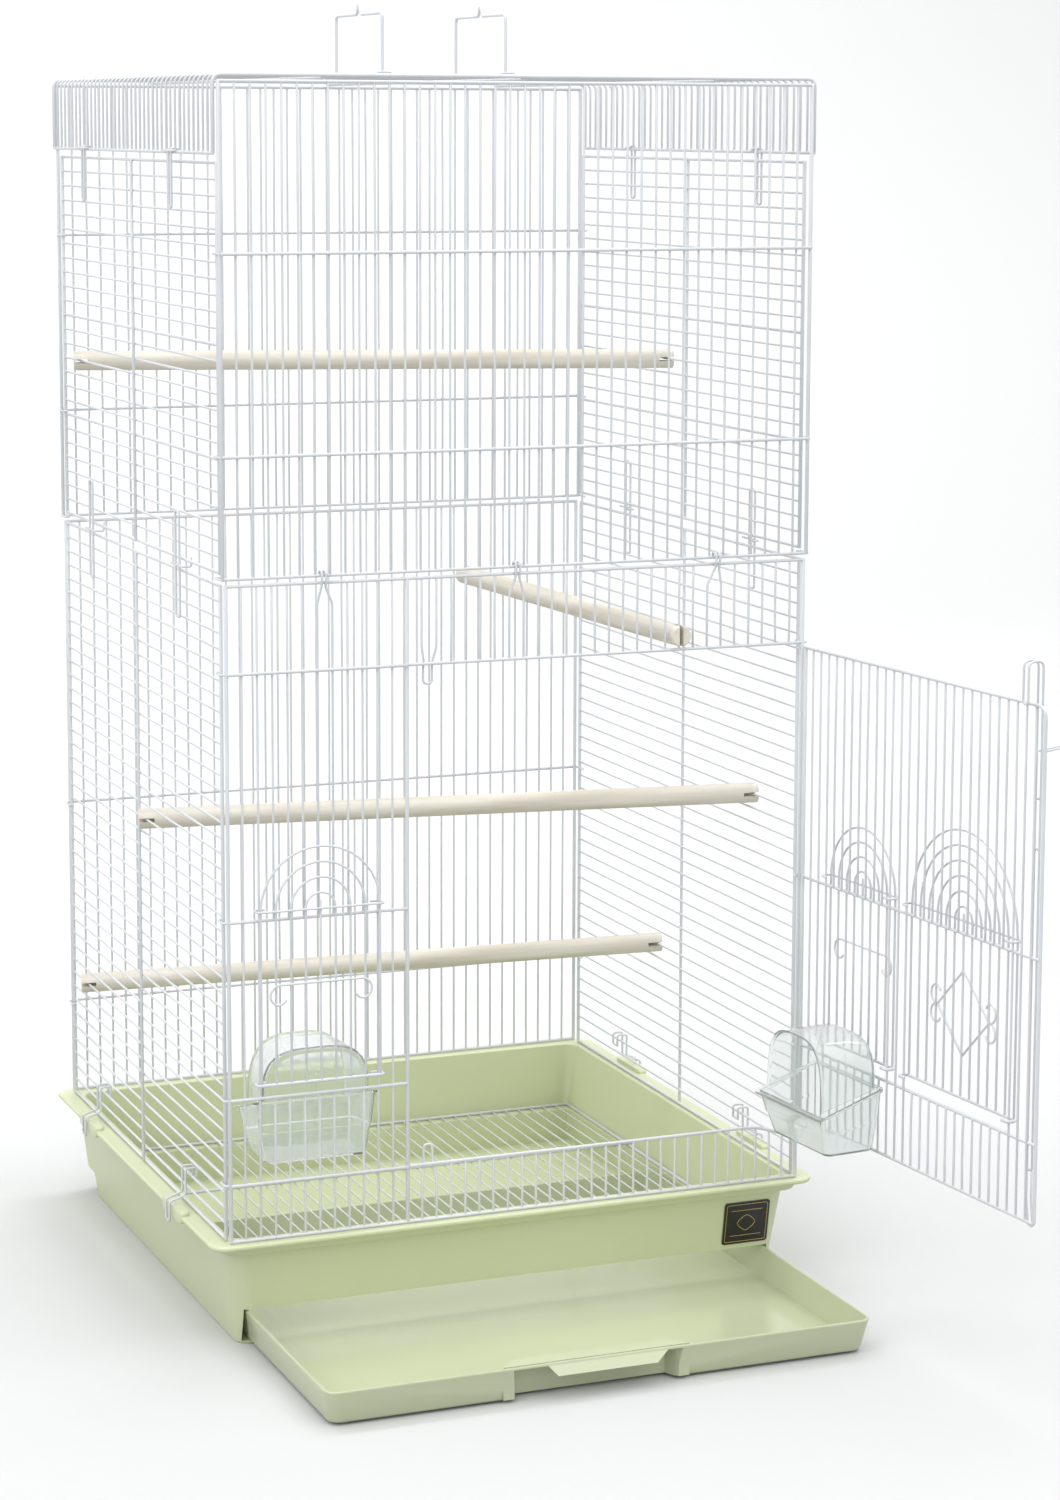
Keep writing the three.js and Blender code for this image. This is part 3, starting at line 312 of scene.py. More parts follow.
# ---- meshes and pieces -------------------------------------------------------------------------
def mesh_of(shape, name, sharp=None):
    """Puts a shape's points, in metres, and its faces into a mesh with smooth shading."""
    points = np.concatenate(shape.points) * 0.001
    sizes = np.concatenate([np.full(len(f), f.shape[1]) for f in shape.faces])
    corners = np.concatenate([f.ravel() for f in shape.faces])
    mesh = bpy.data.meshes.new(name)
    mesh.vertices.add(len(points))
    mesh.vertices.foreach_set("co", points.astype(np.float32).ravel())
    mesh.loops.add(len(corners))
    mesh.loops.foreach_set("vertex_index", corners.astype(np.int32))
    mesh.polygons.add(len(sizes))
    mesh.polygons.foreach_set("loop_start", (np.cumsum(sizes) - sizes).astype(np.int32))
    mesh.polygons.foreach_set("use_smooth", np.ones(len(sizes), bool))
    mesh.update(calc_edges=True)
    mesh.validate()
    if sharp is not None:
        mesh.set_sharp_from_angle(angle=math.radians(sharp))
    return mesh


def new_object(shape, name, sharp=None):
    """A scene object at the origin that shows a shape."""
    item = bpy.data.objects.new(name, mesh_of(shape, name, sharp))
    bpy.context.scene.collection.objects.link(item)
    return item


def combine(item, shape, operation, sharp=40):
    """Cuts a closed shape out of an object, adds it, or keeps what both share, for good."""
    tool = new_object(shape, "tool")
    step = item.modifiers.new("join", "BOOLEAN")
    step.object = tool
    step.operation = operation
    step.solver = "EXACT"
    bpy.context.view_layer.update()
    made = bpy.data.meshes.new_from_object(item.evaluated_get(bpy.context.evaluated_depsgraph_get()))
    if len(made.polygons) < 6:
        raise RuntimeError(f"{item.name}: the {operation.lower()} left too few faces")
    item.modifiers.remove(step)
    old = item.data
    item.data = made
    bpy.data.meshes.remove(old)
    bpy.data.objects.remove(tool)
    made.polygons.foreach_set("use_smooth", np.ones(len(made.polygons), bool))
    made.set_sharp_from_angle(angle=math.radians(sharp))
    return item


def finish_piece(item, body, node, material):
    """Gives an object its material, its body and the frame node that it stands for."""
    item.data.materials.clear()
    item.data.materials.append(material)
    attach(item, body)
    if node:
        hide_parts(node)
    return item


def wire_piece(shape, name, body, node):
    """A finished piece of coated wire."""
    return finish_piece(new_object(shape, name), body, node, wire_material())


# ---- materials ---------------------------------------------------------------------------------
MOTTLE_INPUTS = (
    ("Vector", "Vector", None),
    ("Slow scale", "Float", 12.0),
    ("Fine scale", "Float", 900.0),
    ("Light colour", "Color", (0.8, 0.8, 0.8, 1)),
    ("Deep colour", "Color", (0.7, 0.7, 0.7, 1)),
    ("Smooth", "Float", 0.3),
    ("Rough", "Float", 0.45),
)
MOTTLE_OUTPUTS = (("Colour", "Color", None), ("Roughness", "Float", None), ("Height", "Float", None))


def mottle_group():
    """Slow and fine noise over the surface, put out as a colour, a roughness and a height."""
    name = "mottle"
    if name in bpy.data.node_groups:
        return bpy.data.node_groups[name]
    group = bpy.data.node_groups.new(name, "ShaderNodeTree")
    for into, sockets in (("INPUT", MOTTLE_INPUTS), ("OUTPUT", MOTTLE_OUTPUTS)):
        for label, kind, default in sockets:
            socket = group.interface.new_socket(name=label, in_out=into, socket_type=f"NodeSocket{kind}")
            if default is not None:
                socket.default_value = default
    nodes, links = group.nodes, group.links
    start = nodes.new("NodeGroupInput")
    end = nodes.new("NodeGroupOutput")
    noises = []
    for scale, detail, low, high in (("Slow scale", 4, 0.32, 0.68), ("Fine scale", 2, 0.3, 0.7)):
        noise = nodes.new("ShaderNodeTexNoise")
        noise.inputs["Detail"].default_value = detail
        links.new(start.outputs["Vector"], noise.inputs["Vector"])
        links.new(start.outputs[scale], noise.inputs["Scale"])
        spread = nodes.new("ShaderNodeMapRange")
        spread.inputs["From Min"].default_value = low
        spread.inputs["From Max"].default_value = high
        links.new(noise.outputs["Fac"], spread.inputs["Value"])
        noises.append((noise, spread))
    (_, spread), (fine, gloss) = noises
    mix = nodes.new("ShaderNodeMix")
    mix.data_type = "RGBA"
    links.new(spread.outputs["Result"], mix.inputs[0])
    links.new(start.outputs["Deep colour"], mix.inputs[6])
    links.new(start.outputs["Light colour"], mix.inputs[7])
    links.new(mix.outputs[2], end.inputs["Colour"])
    links.new(start.outputs["Smooth"], gloss.inputs["To Min"])
    links.new(start.outputs["Rough"], gloss.inputs["To Max"])
    links.new(gloss.outputs["Result"], end.inputs["Roughness"])
    links.new(fine.outputs["Fac"], end.inputs["Height"])
    return group


def mottled(name, light, deep, smooth, rough, slow, fine, bump, depth, place=None, **sockets):
    """A material with the mottle group on its colour, roughness and bump.

    Place is the centre, the turn and the stretch of the pattern. Sockets are plain values of the shader.
    """
    if name in bpy.data.materials:
        return bpy.data.materials[name]
    material = bpy.data.materials.new(name)
    material.use_nodes = True
    nodes, links = material.node_tree.nodes, material.node_tree.links
    shader = nodes["Principled BSDF"]
    coordinates = nodes.new("ShaderNodeTexCoord")
    group = nodes.new("ShaderNodeGroup")
    group.node_tree = mottle_group()
    source = coordinates.outputs["Object"]
    if place is not None:
        mapping = nodes.new("ShaderNodeMapping")
        mapping.vector_type = "TEXTURE"
        for socket, value in zip(("Location", "Rotation", "Scale"), place):
            mapping.inputs[socket].default_value = value
        links.new(source, mapping.inputs["Vector"])
        source = mapping.outputs["Vector"]
    links.new(source, group.inputs["Vector"])
    values = (slow, fine, (*light, 1), (*deep, 1), smooth, rough)
    for (socket, _, _), value in zip(MOTTLE_INPUTS[1:], values):
        group.inputs[socket].default_value = value
    links.new(group.outputs["Colour"], shader.inputs["Base Color"])
    links.new(group.outputs["Roughness"], shader.inputs["Roughness"])
    relief = nodes.new("ShaderNodeBump")
    relief.inputs["Strength"].default_value = bump
    relief.inputs["Distance"].default_value = depth
    links.new(group.outputs["Height"], relief.inputs["Height"])
    links.new(relief.outputs["Normal"], shader.inputs["Normal"])
    for socket, value in sockets.items():
        shader.inputs[socket.replace("_", " ")].default_value = value
    return material


def shade(colour, factor):
    """A colour made darker or lighter by a factor."""
    return tuple(float(v) * factor for v in colour)


def wire_material():
    """White powder coat with a faint orange peel."""
    colour = bpy.context.scene.bird_cage_colours.wire
    return mottled("white powder coat", tuple(colour), shade(colour, 0.93), 0.28, 0.42,
                   slow=22, fine=1400, bump=0.12, depth=0.0001, Coat_Weight=0.25)


def plastic_material():
    """Green moulded plastic with a fine, soft grain."""
    colour = bpy.context.scene.bird_cage_colours.plastic
    return mottled("green moulded plastic", tuple(colour), shade(colour, 0.965), 0.3, 0.4,
                   slow=7, fine=1600, bump=0.1, depth=0.00012, Specular_IOR_Level=0.5)


def tray_material_with_painted_shade():
    """The same plastic with the tray's polished face, its colour painted darker than the base's as painted
    shade for the shadow the tray lies in.
    """
    # painted shade: the tray's colour is the base plastic made darker to stand in for the shade on the tray
    colour = bpy.context.scene.bird_cage_colours.tray
    return mottled("green polished plastic with painted shade", tuple(colour), shade(colour, 0.975), 0.12, 0.2,
                   slow=6, fine=500, bump=0.03, depth=0.0001, Specular_IOR_Level=0.55)


def clear_material():
    """Clear moulded plastic with slight flow marks."""
    colour = bpy.context.scene.bird_cage_colours.clear
    return mottled("clear moulded plastic", tuple(colour), shade(colour, 0.985), 0.04, 0.1,
                   slow=18, fine=160, bump=0.06, depth=0.0003, Transmission_Weight=0.88, IOR=1.35)


def plate_material():
    """Dark printed foil of the label."""
    colour = bpy.context.scene.bird_cage_colours.plate
    return mottled("dark label foil", tuple(colour), shade(colour, 0.7), 0.28, 0.4,
                   slow=60, fine=2500, bump=0.05, depth=0.00005)


def gold_material():
    """Gold foil for the label's thin frame."""
    return mottled("gold foil", (0.80, 0.58, 0.24), (0.66, 0.45, 0.16), 0.25, 0.4,
                   slow=90, fine=2500, bump=0.05, depth=0.00005, Metallic=0.9)


def wood_material(name, start, end):
    """Raw dowel wood, its grain drawn out along the perch from start to end."""
    if name in bpy.data.materials:
        return bpy.data.materials[name]
    colours = bpy.context.scene.bird_cage_colours
    turn = Vector(end - start).to_track_quat("Z", "Y").to_euler()
    place = (Vector((start + end) / 2) * 0.001, turn, (1.0, 1.0, 14.0))
    return mottled(name, tuple(colours.wood), tuple(colours.wood_grain), 0.55, 0.75,
                   slow=130, fine=900, bump=0.25, depth=0.0003, place=place)


# ---- wires -------------------------------------------------------------------------------------
def grow(name):
    """A wire's radius in millimetres from the settings."""
    return getattr(bpy.context.scene.bird_cage_sizes, name) * 1000


def fill_wires(shape, starts, ends, seed=1, scale=1.0):
    """Thin straight wires, each with its own slight bow."""
    bow = grow("bow")
    tube(shape, straight(starts, ends, bow, seed), grow("fill_radius") * scale)


def rails(shape, starts, ends):
    """Straight cross rails."""
    tube(shape, straight(starts, ends), grow("rail_radius"), sides=10)


def edges(shape, starts, ends):
    """Straight edge wires."""
    tube(shape, straight(starts, ends), grow("edge_radius"), sides=10)


def bent(shape, points, radius, cut=0.0, steps=4, across=None, sides=8):
    """One wire bent along a path of corners."""
    path = rounded(points, cut, steps) if cut else np.asarray(points, float)
    tube(shape, path, radius, sides, across)


def panel_frame(shape, half, low, high):
    """Two edge wires and the bottom and top rails of a panel."""
    x = np.array([-half, half])
    edges(shape, at(x, low - RAIL), at(x, high + RAIL))
    z = np.array([low, high])
    rails(shape, at(-half, z), at(half, z))


def beside_wire(height, bottom, step):
    """A height moved off the nearest level wire of a side panel, when it is too close to pass."""
    wire = bottom + round((height - bottom) / step) * step
    need = RAIL + FILL + GAP
    if abs(height - wire) >= need:
        return height
    return wire + (-need if height < wire else need)


def grip_hook(shape, side, half, height):
    """A rail's end, bent back round the side panel's edge wire."""
    reach = EDGE + GAP + FILL + 0.5
    if height > SEAM_Z + 10:
        z = beside_wire(height, SIDE_UPPER_BOTTOM, SIDE_UPPER_STEP)
    else:
        z = beside_wire(height, LOWER_BOTTOM_Z, SIDE_LOWER_STEP)
    back = -FRONT_Y - SIDE_HALF_D + reach
    x = side * np.array([half - 1, SIDE_X + reach, SIDE_X + reach, SIDE_X - 1])
    bent(shape, at(x, z, np.array([0, 0, -back, -back])), grow("fill_radius"), cut=2.2)


def upright_panel(shape, half, low, high, spaces, rail_heights, seed):
    """A panel of upright fill wires behind its cross rails."""
    panel_frame(shape, half, low, high)
    x = -half + np.arange(1, spaces) * 2 * half / spaces
    fill_wires(shape, at(x, low), at(x, high), seed)
    z = np.array(rail_heights)
    rails(shape, at(-half, z, RAIL_OUT), at(half, z, RAIL_OUT))


def level_panel(shape, half, low, high, spaces, thick, seed):
    """A panel of level fill wires with one upright rail in the middle."""
    panel_frame(shape, half, low, high)
    numbers = np.arange(1, spaces)
    heavy = np.isin(numbers, thick)
    z = low + numbers * (high - low) / spaces
    fill_wires(shape, at(-half, z[~heavy]), at(half, z[~heavy]), seed)
    if heavy.any():
        rails(shape, at(-half, z[heavy]), at(half, z[heavy]))
    rails(shape, at(0, low, RAIL_OUT), at(0, high, RAIL_OUT))


def lower_x(i):
    """The x of a lower panel's wire, counted from the left post."""
    return -LOWER_HALF_W + np.asarray(i, float) * LOWER_STEP


def door_x(j):
    """The x of a door wire, counted from the hinge, in the closed door's own frame."""
    return -DOOR_HINGE_GAP - np.asarray(j, float) * DOOR_STEP


# ---- fixed panels ------------------------------------------------------------------------------
def build_roof():
    """Wires bent down at both sides, rails under them, and small arches that hold the handles' pins."""
    shape = Shape()
    corners = [[-SKIRT_X, SKIRT_BOTTOM], [-SKIRT_X, ROOF_Z], [SKIRT_X, ROOF_Z], [SKIRT_X, SKIRT_BOTTOM]]
    line = rounded(corners, 6.5, 6)
    y = -CAGE_HALF_D + np.arange(ROOF_SPACES + 1) * PITCH
    paths = spot(line[:, 0], y[:, None], line[:, 1])
    tube(shape, paths[1:-1], grow("fill_radius"))
    tube(shape, paths[[0, -1]], grow("edge_radius"), sides=10)
    for x, y, z in (((-SKIRT_X, SKIRT_X), CAGE_HALF_D + RAIL, SKIRT_BOTTOM),
                    (UNDER_RAIL_X, CAGE_HALF_D, ROOF_Z - 2.2)):
        rails(shape, spot(x, -y, z), spot(x, y, z))
    top = ROOF_Z + FILL + GAP + 2 * EDGE + GAP + FILL
    for x0 in HANDLE_X:
        for y0 in (-5 * PITCH, 5 * PITCH):
            arch = [[x0 - 7.5, y0, ROOF_Z], [x0 - 5.5, y0, top], [x0 + 5.5, y0, top], [x0 + 7.5, y0, ROOF_Z]]
            bent(shape, arch, grow("fill_radius"), cut=2.0)
    wire_piece(shape, "wire_roof", "cage", "roof_panel")


def build_upper_panels():
    """The upper front and back panels: upright wires, three cross rails, hooks at the rails' ends."""
    for name, y, turn, seed in (("front", FRONT_Y, 0, 3), ("back", -FRONT_Y, 180, 4)):
        shape = Shape()
        upright_panel(shape, UPPER_HALF_W, UPPER_BOTTOM_Z, UPPER_TOP_Z, FRONT_SPACES, UPPER_RAILS, seed)
        for z in (UPPER_BOTTOM_Z, *UPPER_RAILS):
            for side in (-1, 1):
                grip_hook(shape, side, UPPER_HALF_W, z)
        wire_piece(shape.placed(0, y, turn), f"wire_{name}_upper", "cage", f"{name}_upper_panel")


def build_side_panels():
    """The side panels: level wires, a middle rail, two heavier wires in the upper ones."""
    rows = (
        ("upper", SIDE_UPPER_BOTTOM, SIDE_UPPER_TOP, SIDE_UPPER_SPACES, (7, 14), 6),
        ("lower", LOWER_BOTTOM_Z, SIDE_LOWER_TOP, SIDE_LOWER_SPACES, (), 16),
    )
    for word, side in (("left", -1), ("right", 1)):
        for row, low, high, spaces, thick, seed in rows:
            shape = Shape()
            level_panel(shape, SIDE_HALF_D, low, high, spaces, thick, seed + side)
            shape.placed(side * SIDE_X, 0, side * 90)
            wire_piece(shape, f"wire_{word}_{row}", "cage", f"{word}_{row}_panel")


def build_back_lower_panel():
    """The lower back panel: upright wires and two cross rails."""
    shape = Shape()
    upright_panel(shape, LOWER_HALF_W, LOWER_BOTTOM_Z, LOWER_TOP_Z, FRONT_SPACES, BACK_LOWER_RAILS, 21)
    for z in BACK_LOWER_RAILS:
        for side in (-1, 1):
            grip_hook(shape, side, LOWER_HALF_W, z)
    wire_piece(shape.placed(0, -FRONT_Y, 180), "wire_back_lower", "cage", "back_lower_panel")


def build_front_lower_panel():
    """The lower front panel round the door opening, with its seam hooks and the latch's catch loops."""
    shape = Shape()
    panel_frame(shape, LOWER_HALF_W, LOWER_BOTTOM_Z, LOWER_TOP_Z)
    opening = lower_x(LEFT_SECTION)
    edges(shape, at(opening, LOWER_BOTTOM_Z), at(opening, LOWER_TOP_Z))
    upper_step = 2 * UPPER_HALF_W / FRONT_SPACES
    drawn = {}
    for i in SEAM_HOOKS:
        hook = -UPPER_HALF_W + (i + 0.5) * upper_step
        drawn[i] = (hook, -1)
        drawn[i + 1] = (hook, 1)
    left = np.arange(1, LEFT_SECTION)
    whole = left[np.abs(left - FEEDER_CENTRE) >= FEEDER_SPAN]
    cut = left[np.abs(left - FEEDER_CENTRE) < FEEDER_SPAN]
    right = np.arange(LEFT_SECTION + 1, FRONT_SPACES)
    fill_wires(shape, at(lower_x(whole), LOWER_BOTTOM_Z), at(lower_x(whole), LOWER_TOP_Z), 31)
    fill_wires(shape, at(lower_x(cut), LOWER_BOTTOM_Z), at(lower_x(cut), FEEDER_BOTTOM_Z + 0.4), 32)
    plain = np.array([i for i in cut if i not in drawn])
    fill_wires(shape, at(lower_x(plain), FEEDER_TOP_Z - 0.4), at(lower_x(plain), LOWER_TOP_Z), 33)
    band = np.array([i for i in right if i not in drawn and i not in LATCH_WIRES])
    fill_wires(shape, at(lower_x(band), BAND_Z), at(lower_x(band), LOWER_TOP_Z), 34)
    last = FRONT_SPACES - 3
    tops = np.where(right <= last, SILL_Z, SILL_Z - (right - last) * 3.7)
    low = ~np.isin(right, LATCH_WIRES)
    fill_wires(shape, at(lower_x(right[low]), LOWER_BOTTOM_Z), at(lower_x(right[low]), tops[low]), 35)
    for i, (hook, side) in drawn.items():
        seam_wire(shape, lower_x(i), hook, side, FEEDER_TOP_Z - 0.4 if i in cut else BAND_Z)
    catch_wires(shape, LOWER_TOP_Z, BAND_Z, -15)
    catch_wires(shape, LOWER_BOTTOM_Z, SILL_Z, 14)
    rails(shape, at(-LOWER_HALF_W, BAND_Z, RAIL_OUT), at(opening, BAND_Z, RAIL_OUT))
    rails(shape, at(opening, BAND_Z), at(LOWER_HALF_W, BAND_Z))
    z = np.array([FEEDER_TOP_Z, FEEDER_BOTTOM_Z])
    rails(shape, at(-LOWER_HALF_W, z, 0.9), at(opening, z, 0.9))
    rails(shape, at(-LOWER_HALF_W, SILL_Z, RAIL_OUT), at(opening, SILL_Z, RAIL_OUT))
    bent(shape, at([opening, lower_x(last), LOWER_HALF_W], [SILL_Z, SILL_Z, SILL_Z - 11]),
         grow("rail_radius"), cut=8, sides=10)
    for z in (SILL_Z, FEEDER_BOTTOM_Z, FEEDER_TOP_Z, BAND_Z):
        grip_hook(shape, -1, LOWER_HALF_W, z)
    grip_hook(shape, 1, LOWER_HALF_W, BAND_Z)
    wire_piece(shape.placed(0, FRONT_Y, 0), "wire_front_lower", "cage", "front_lower_panel")


def seam_wire(shape, x, hook, side, low):
    """One of a pair of wires drawn together at the seam, over its rails and down behind them."""
    near = hook + side * 1.5
    top = UPPER_BOTTOM_Z + 3.2
    path = at(
        [x, x, near, near, near, near, near],
        [low, LOWER_TOP_Z - 15, LOWER_TOP_Z - 3, LOWER_TOP_Z + 1, top, top, top - 2.6],
        [0, 0, 1.6, 3.4, 3.4, -2.6, -2.9],
    )
    bent(shape, path, grow("fill_radius"), cut=2.4, across=(1, 0, 0.001))


def catch_wires(shape, far, rail_z, drop):
    """Two wires drawn together behind a rail and joined beyond it in a loop for the latch."""
    toward = 1 if drop < 0 else -1
    a, b = lower_x(LATCH_WIRES)
    left, right = LATCH_X - 3.4, LATCH_X + 3.4
    end = rail_z + drop
    x = [a, a, left, left, left, right, right, right, b, b]
    z = [far, rail_z + toward * 12, rail_z + toward * 2, rail_z - toward * 2, end, end,
         rail_z - toward * 2, rail_z + toward * 2, rail_z + toward * 12, far]
    out = [0, 0, -1.9, -3.2, -3.2, -3.2, -3.2, -1.9, 0, 0]
    bent(shape, at(x, z, out), grow("fill_radius"), cut=3.2, across=(0, 1, 0))


# ---- door and sliding doors --------------------------------------------------------------------
def arch_door(shape, x0, step, span):
    """Nested arches: two legs and a half circle of radius r steps, with end loops round the door's wires."""
    a = np.linspace(np.pi, 0, 19)
    for r in range(1, span + 1):
        x = x0 + r * step * np.cos(a)
        z = SLIDER_HIGH + r * step * np.sin(a)
        legs_x = np.concatenate([[x[0]], x, [x[-1]]])
        legs_z = np.concatenate([[SLIDER_LOW], z, [SLIDER_LOW]])
        tube(shape, at(legs_x, legs_z, SLIDER_OUT), grow("fill_radius"), across=(0, 1, 0))
    fill_wires(shape, at(x0, SLIDER_LOW, SLIDER_OUT), at(x0, SLIDER_HIGH + 6, SLIDER_OUT), 41)
    reach = span * step + EDGE + GAP + FILL + 0.4
    for z, front, radius in (
        (SLIDER_LOW, SLIDER_OUT, grow("rail_radius")),
        (SLIDER_HIGH, SLIDER_OUT + RAIL_OUT, grow("fill_radius")),
    ):
        x = [x0 - reach + 8, x0 - reach, x0 - reach, x0 + reach, x0 + reach, x0 + reach - 8]
        bent(shape, at(x, z, [-2.6, -2.6, front, front, -2.6, -2.6]), radius, cut=2.6)


def curl(x0, z0, side, reach, start, turn, big, shrink, up=1.0):
    """A flat spiral: x = x0 + side (reach + r cos a), z = z0 + up r sin a, r shrinking as a turns."""
    t = np.linspace(0, 1, 18)
    a = start + turn * t
    r = big - shrink * t
    return at(x0 + side * (reach + r * np.cos(a)), z0 + up * r * np.sin(a), SLIDER_OUT + 0.9)


def scroll_bar(shape, x0, z0, half):
    """A finger bar with a curl at each end."""
    ends = [curl(x0, z0 - 8.5, s, half - 2, np.pi / 2, -1.35 * np.pi, 8.5, 3.4) for s in (-1, 1)]
    path = np.concatenate([ends[0][::-1], ends[1]])
    tube(shape, path, grow("fill_radius"), across=(0, 1, 0))


def diamond(shape, x0, z0, half_w, half_h):
    """A four-cornered wire with a pair of curls at its left and at its right."""
    x = x0 + np.array([0, half_w, 0, -half_w, 0])
    z = z0 + np.array([-half_h, 0, half_h, 0, -half_h])
    bent(shape, at(x, z, SLIDER_OUT + 0.9), grow("fill_radius"), cut=2, across=(0, 1, 0))
    for side in (-1, 1):
        for up in (-1, 1):
            path = curl(x0, z0 + up * 8, side, half_w + 1, -np.pi / 2, 1.4 * np.pi, 8, 3.2, up)
            tube(shape, path, grow("fill_radius"), across=(0, 1, 0))


def build_sliding_doors():
    """The two feeder doors and the bird door, which slide up their panels' wires."""
    shape = Shape()
    arch_door(shape, lower_x(FEEDER_CENTRE), LOWER_STEP, FEEDER_SPAN)
    scroll_bar(shape, lower_x(FEEDER_CENTRE), FEEDER_TOP_Z - 47, 33)
    wire_piece(shape.placed(0, FRONT_Y, 0), "wire_front_slider", "front_feeder_door", "front_feeder_door")
    shape = Shape()
    arch_door(shape, door_x(DOOR_FEEDER_CENTRE), DOOR_STEP, FEEDER_SPAN)
    scroll_bar(shape, door_x(DOOR_FEEDER_CENTRE), FEEDER_TOP_Z - 39, 33)
    wire_piece(on_door(shape), "wire_door_slider", "door_feeder_door", "door_feeder_door")
    shape = Shape()
    arch_door(shape, door_x(BIRD_DOOR_CENTRE), DOOR_STEP, BIRD_DOOR_SPAN)
    diamond(shape, door_x(BIRD_DOOR_CENTRE), FEEDER_TOP_Z - 59, 32, 31)
    wire_piece(on_door(shape), "wire_bird_slider", "bird_door", "bird_door")


def on_door(shape):
    """A shape moved from the closed door's own frame to the open door."""
    return shape.placed(LOWER_HALF_W, FRONT_Y, DOOR_OPEN)


def build_main_door():
    """The big door: edge wires, upright wires, two rails, and eyes round the hinge post."""
    shape = Shape()
    first, last = door_x(0), door_x(DOOR_SPACES)
    edges(shape, at(first, DOOR_BOTTOM_Z), at(first, DOOR_TOP_Z))
    outline = at([first, last, last, first], [DOOR_TOP_Z, DOOR_TOP_Z, DOOR_BOTTOM_Z, DOOR_BOTTOM_Z])
    bent(shape, outline, grow("rail_radius"), cut=[9, 2.5], steps=6, sides=10)
    j = np.arange(1, DOOR_SPACES)
    top = np.where(j == DOOR_SPACES - 1, DOOR_TOP_Z - 0.3, DOOR_TOP_Z)
    gaps = (np.abs(j - DOOR_FEEDER_CENTRE) < FEEDER_SPAN) | (np.abs(j - BIRD_DOOR_CENTRE) < BIRD_DOOR_SPAN)
    x = door_x(j)
    fill_wires(shape, at(x[~gaps], DOOR_BOTTOM_Z), at(x[~gaps], top[~gaps]), 51)
    fill_wires(shape, at(x[gaps], DOOR_BOTTOM_Z), at(x[gaps], FEEDER_BOTTOM_Z + 0.4), 52)
    fill_wires(shape, at(x[gaps], FEEDER_TOP_Z - 0.4), at(x[gaps], top[gaps]), 53)
    z = np.array([FEEDER_TOP_Z, FEEDER_BOTTOM_Z])
    rails(shape, at(first, z, 0.9), at(last, z, 0.9))
    r = EDGE * math.sqrt(2) + GAP + FILL + 0.3
    a = np.linspace(0.66 * np.pi, -0.62 * np.pi, 16)
    for z in (DOOR_BOTTOM_Z, FEEDER_BOTTOM_Z, FEEDER_TOP_Z, DOOR_TOP_Z - 1):
        x = np.concatenate([[first, first + 1.6], r * np.cos(a)])
        out = np.concatenate([[0.6, 1.6], r * np.sin(a)])
        tube(shape, at(x, z, out), grow("fill_radius"), across=(0, 0, 1))
    wire_piece(on_door(shape), "wire_main_door", "main_door", "main_door")


def build_latch():
    """The latch: a hairpin that folds over the door's top, two rods and a finger loop."""
    shape = Shape()
    x = LATCH_X - LOWER_HALF_W
    half, out, hook_in = 2.9, SLIDER_OUT - 0.4, 8.0
    top, low = DOOR_TOP_Z + 30, DOOR_BOTTOM_Z - 5
    rod_low = low + 40.3
    grip_low, grip_top = DOOR_TOP_Z - 66.9, DOOR_TOP_Z - 28.9
    radius = grow("fill_radius")
    left, right = x - half, x + half
    hairpin = at(
        [left, left, left, left, right, right, right, right],
        [rod_low, top, top, DOOR_TOP_Z + 1, DOOR_TOP_Z + 1, top, top, rod_low],
        [out, out, -hook_in, -hook_in, -hook_in, -hook_in, out, out],
    )
    bent(shape, hairpin, radius, cut=[5, 5, 2.6, 2.6, 5, 5], steps=6, across=(1, 0.2, 0.001))
    foot = at(
        [left, left, left, right, right, right],
        [rod_low - 0.6, low + 18, low, low, low + 18, rod_low - 0.6],
        [out, out, out + 2, out + 2, out, out],
    )
    bent(shape, foot, radius, cut=2.6, across=(0, 1, 0))
    z = np.array([rod_low, grip_low + 2, grip_low - 33])
    tube(shape, straight(at(left, z, out), at(right, z, out)), radius)
    finger = at(
        [x - 1.2, x - 1.2, x - 1.2, x + 4.2, x + 4.2],
        [grip_low, grip_top - 4, grip_top, grip_top, grip_top - 4],
        [out + 1.3, out + 1.3, out + 37.7, out + 37.7, out + 3],
    )
    bent(shape, finger, radius, cut=2.6, steps=5, across=(0.3, 0.05, 1))
    wire_piece(on_door(shape), "wire_latch", "door_latch", "door_latch")


# ---- handles, clips, grille --------------------------------------------------------------------
def build_handles():
    """The carrying handles: two legs, a peak in the middle of the grip, pins turned out at the feet."""
    height = ROOF_Z + FILL + GAP + EDGE
    half = np.array([4.5, HANDLE_HALF, HANDLE_HALF, HANDLE_HALF + 9.5])
    y = np.concatenate([-half[::-1], [0], half])
    z = height + np.array([0, 0, HANDLE_H, HANDLE_H, HANDLE_H + 8.2, HANDLE_H, HANDLE_H, 0, 0])
    for word, x in zip(("left", "right"), HANDLE_X):
        shape = Shape()
        cut = [2.4, 5, 2.4, 2.0, 2.4, 5, 2.4]
        bent(shape, spot(x, y, z), HANDLE_RADIUS, cut, steps=6, across=(1, 0, 0), sides=12)
        wire_piece(shape, f"wire_handle_{word}", f"carry_handle_{word}", f"carry_handle_{word}")


def out_and_back(profile, y, half):
    """A path of (x, z) points half a clip's width before y, and the same way back behind it."""
    x, z = np.array(profile).T
    return np.concatenate([spot(x, y - half, z), spot(x, y + half, z)[::-1]])


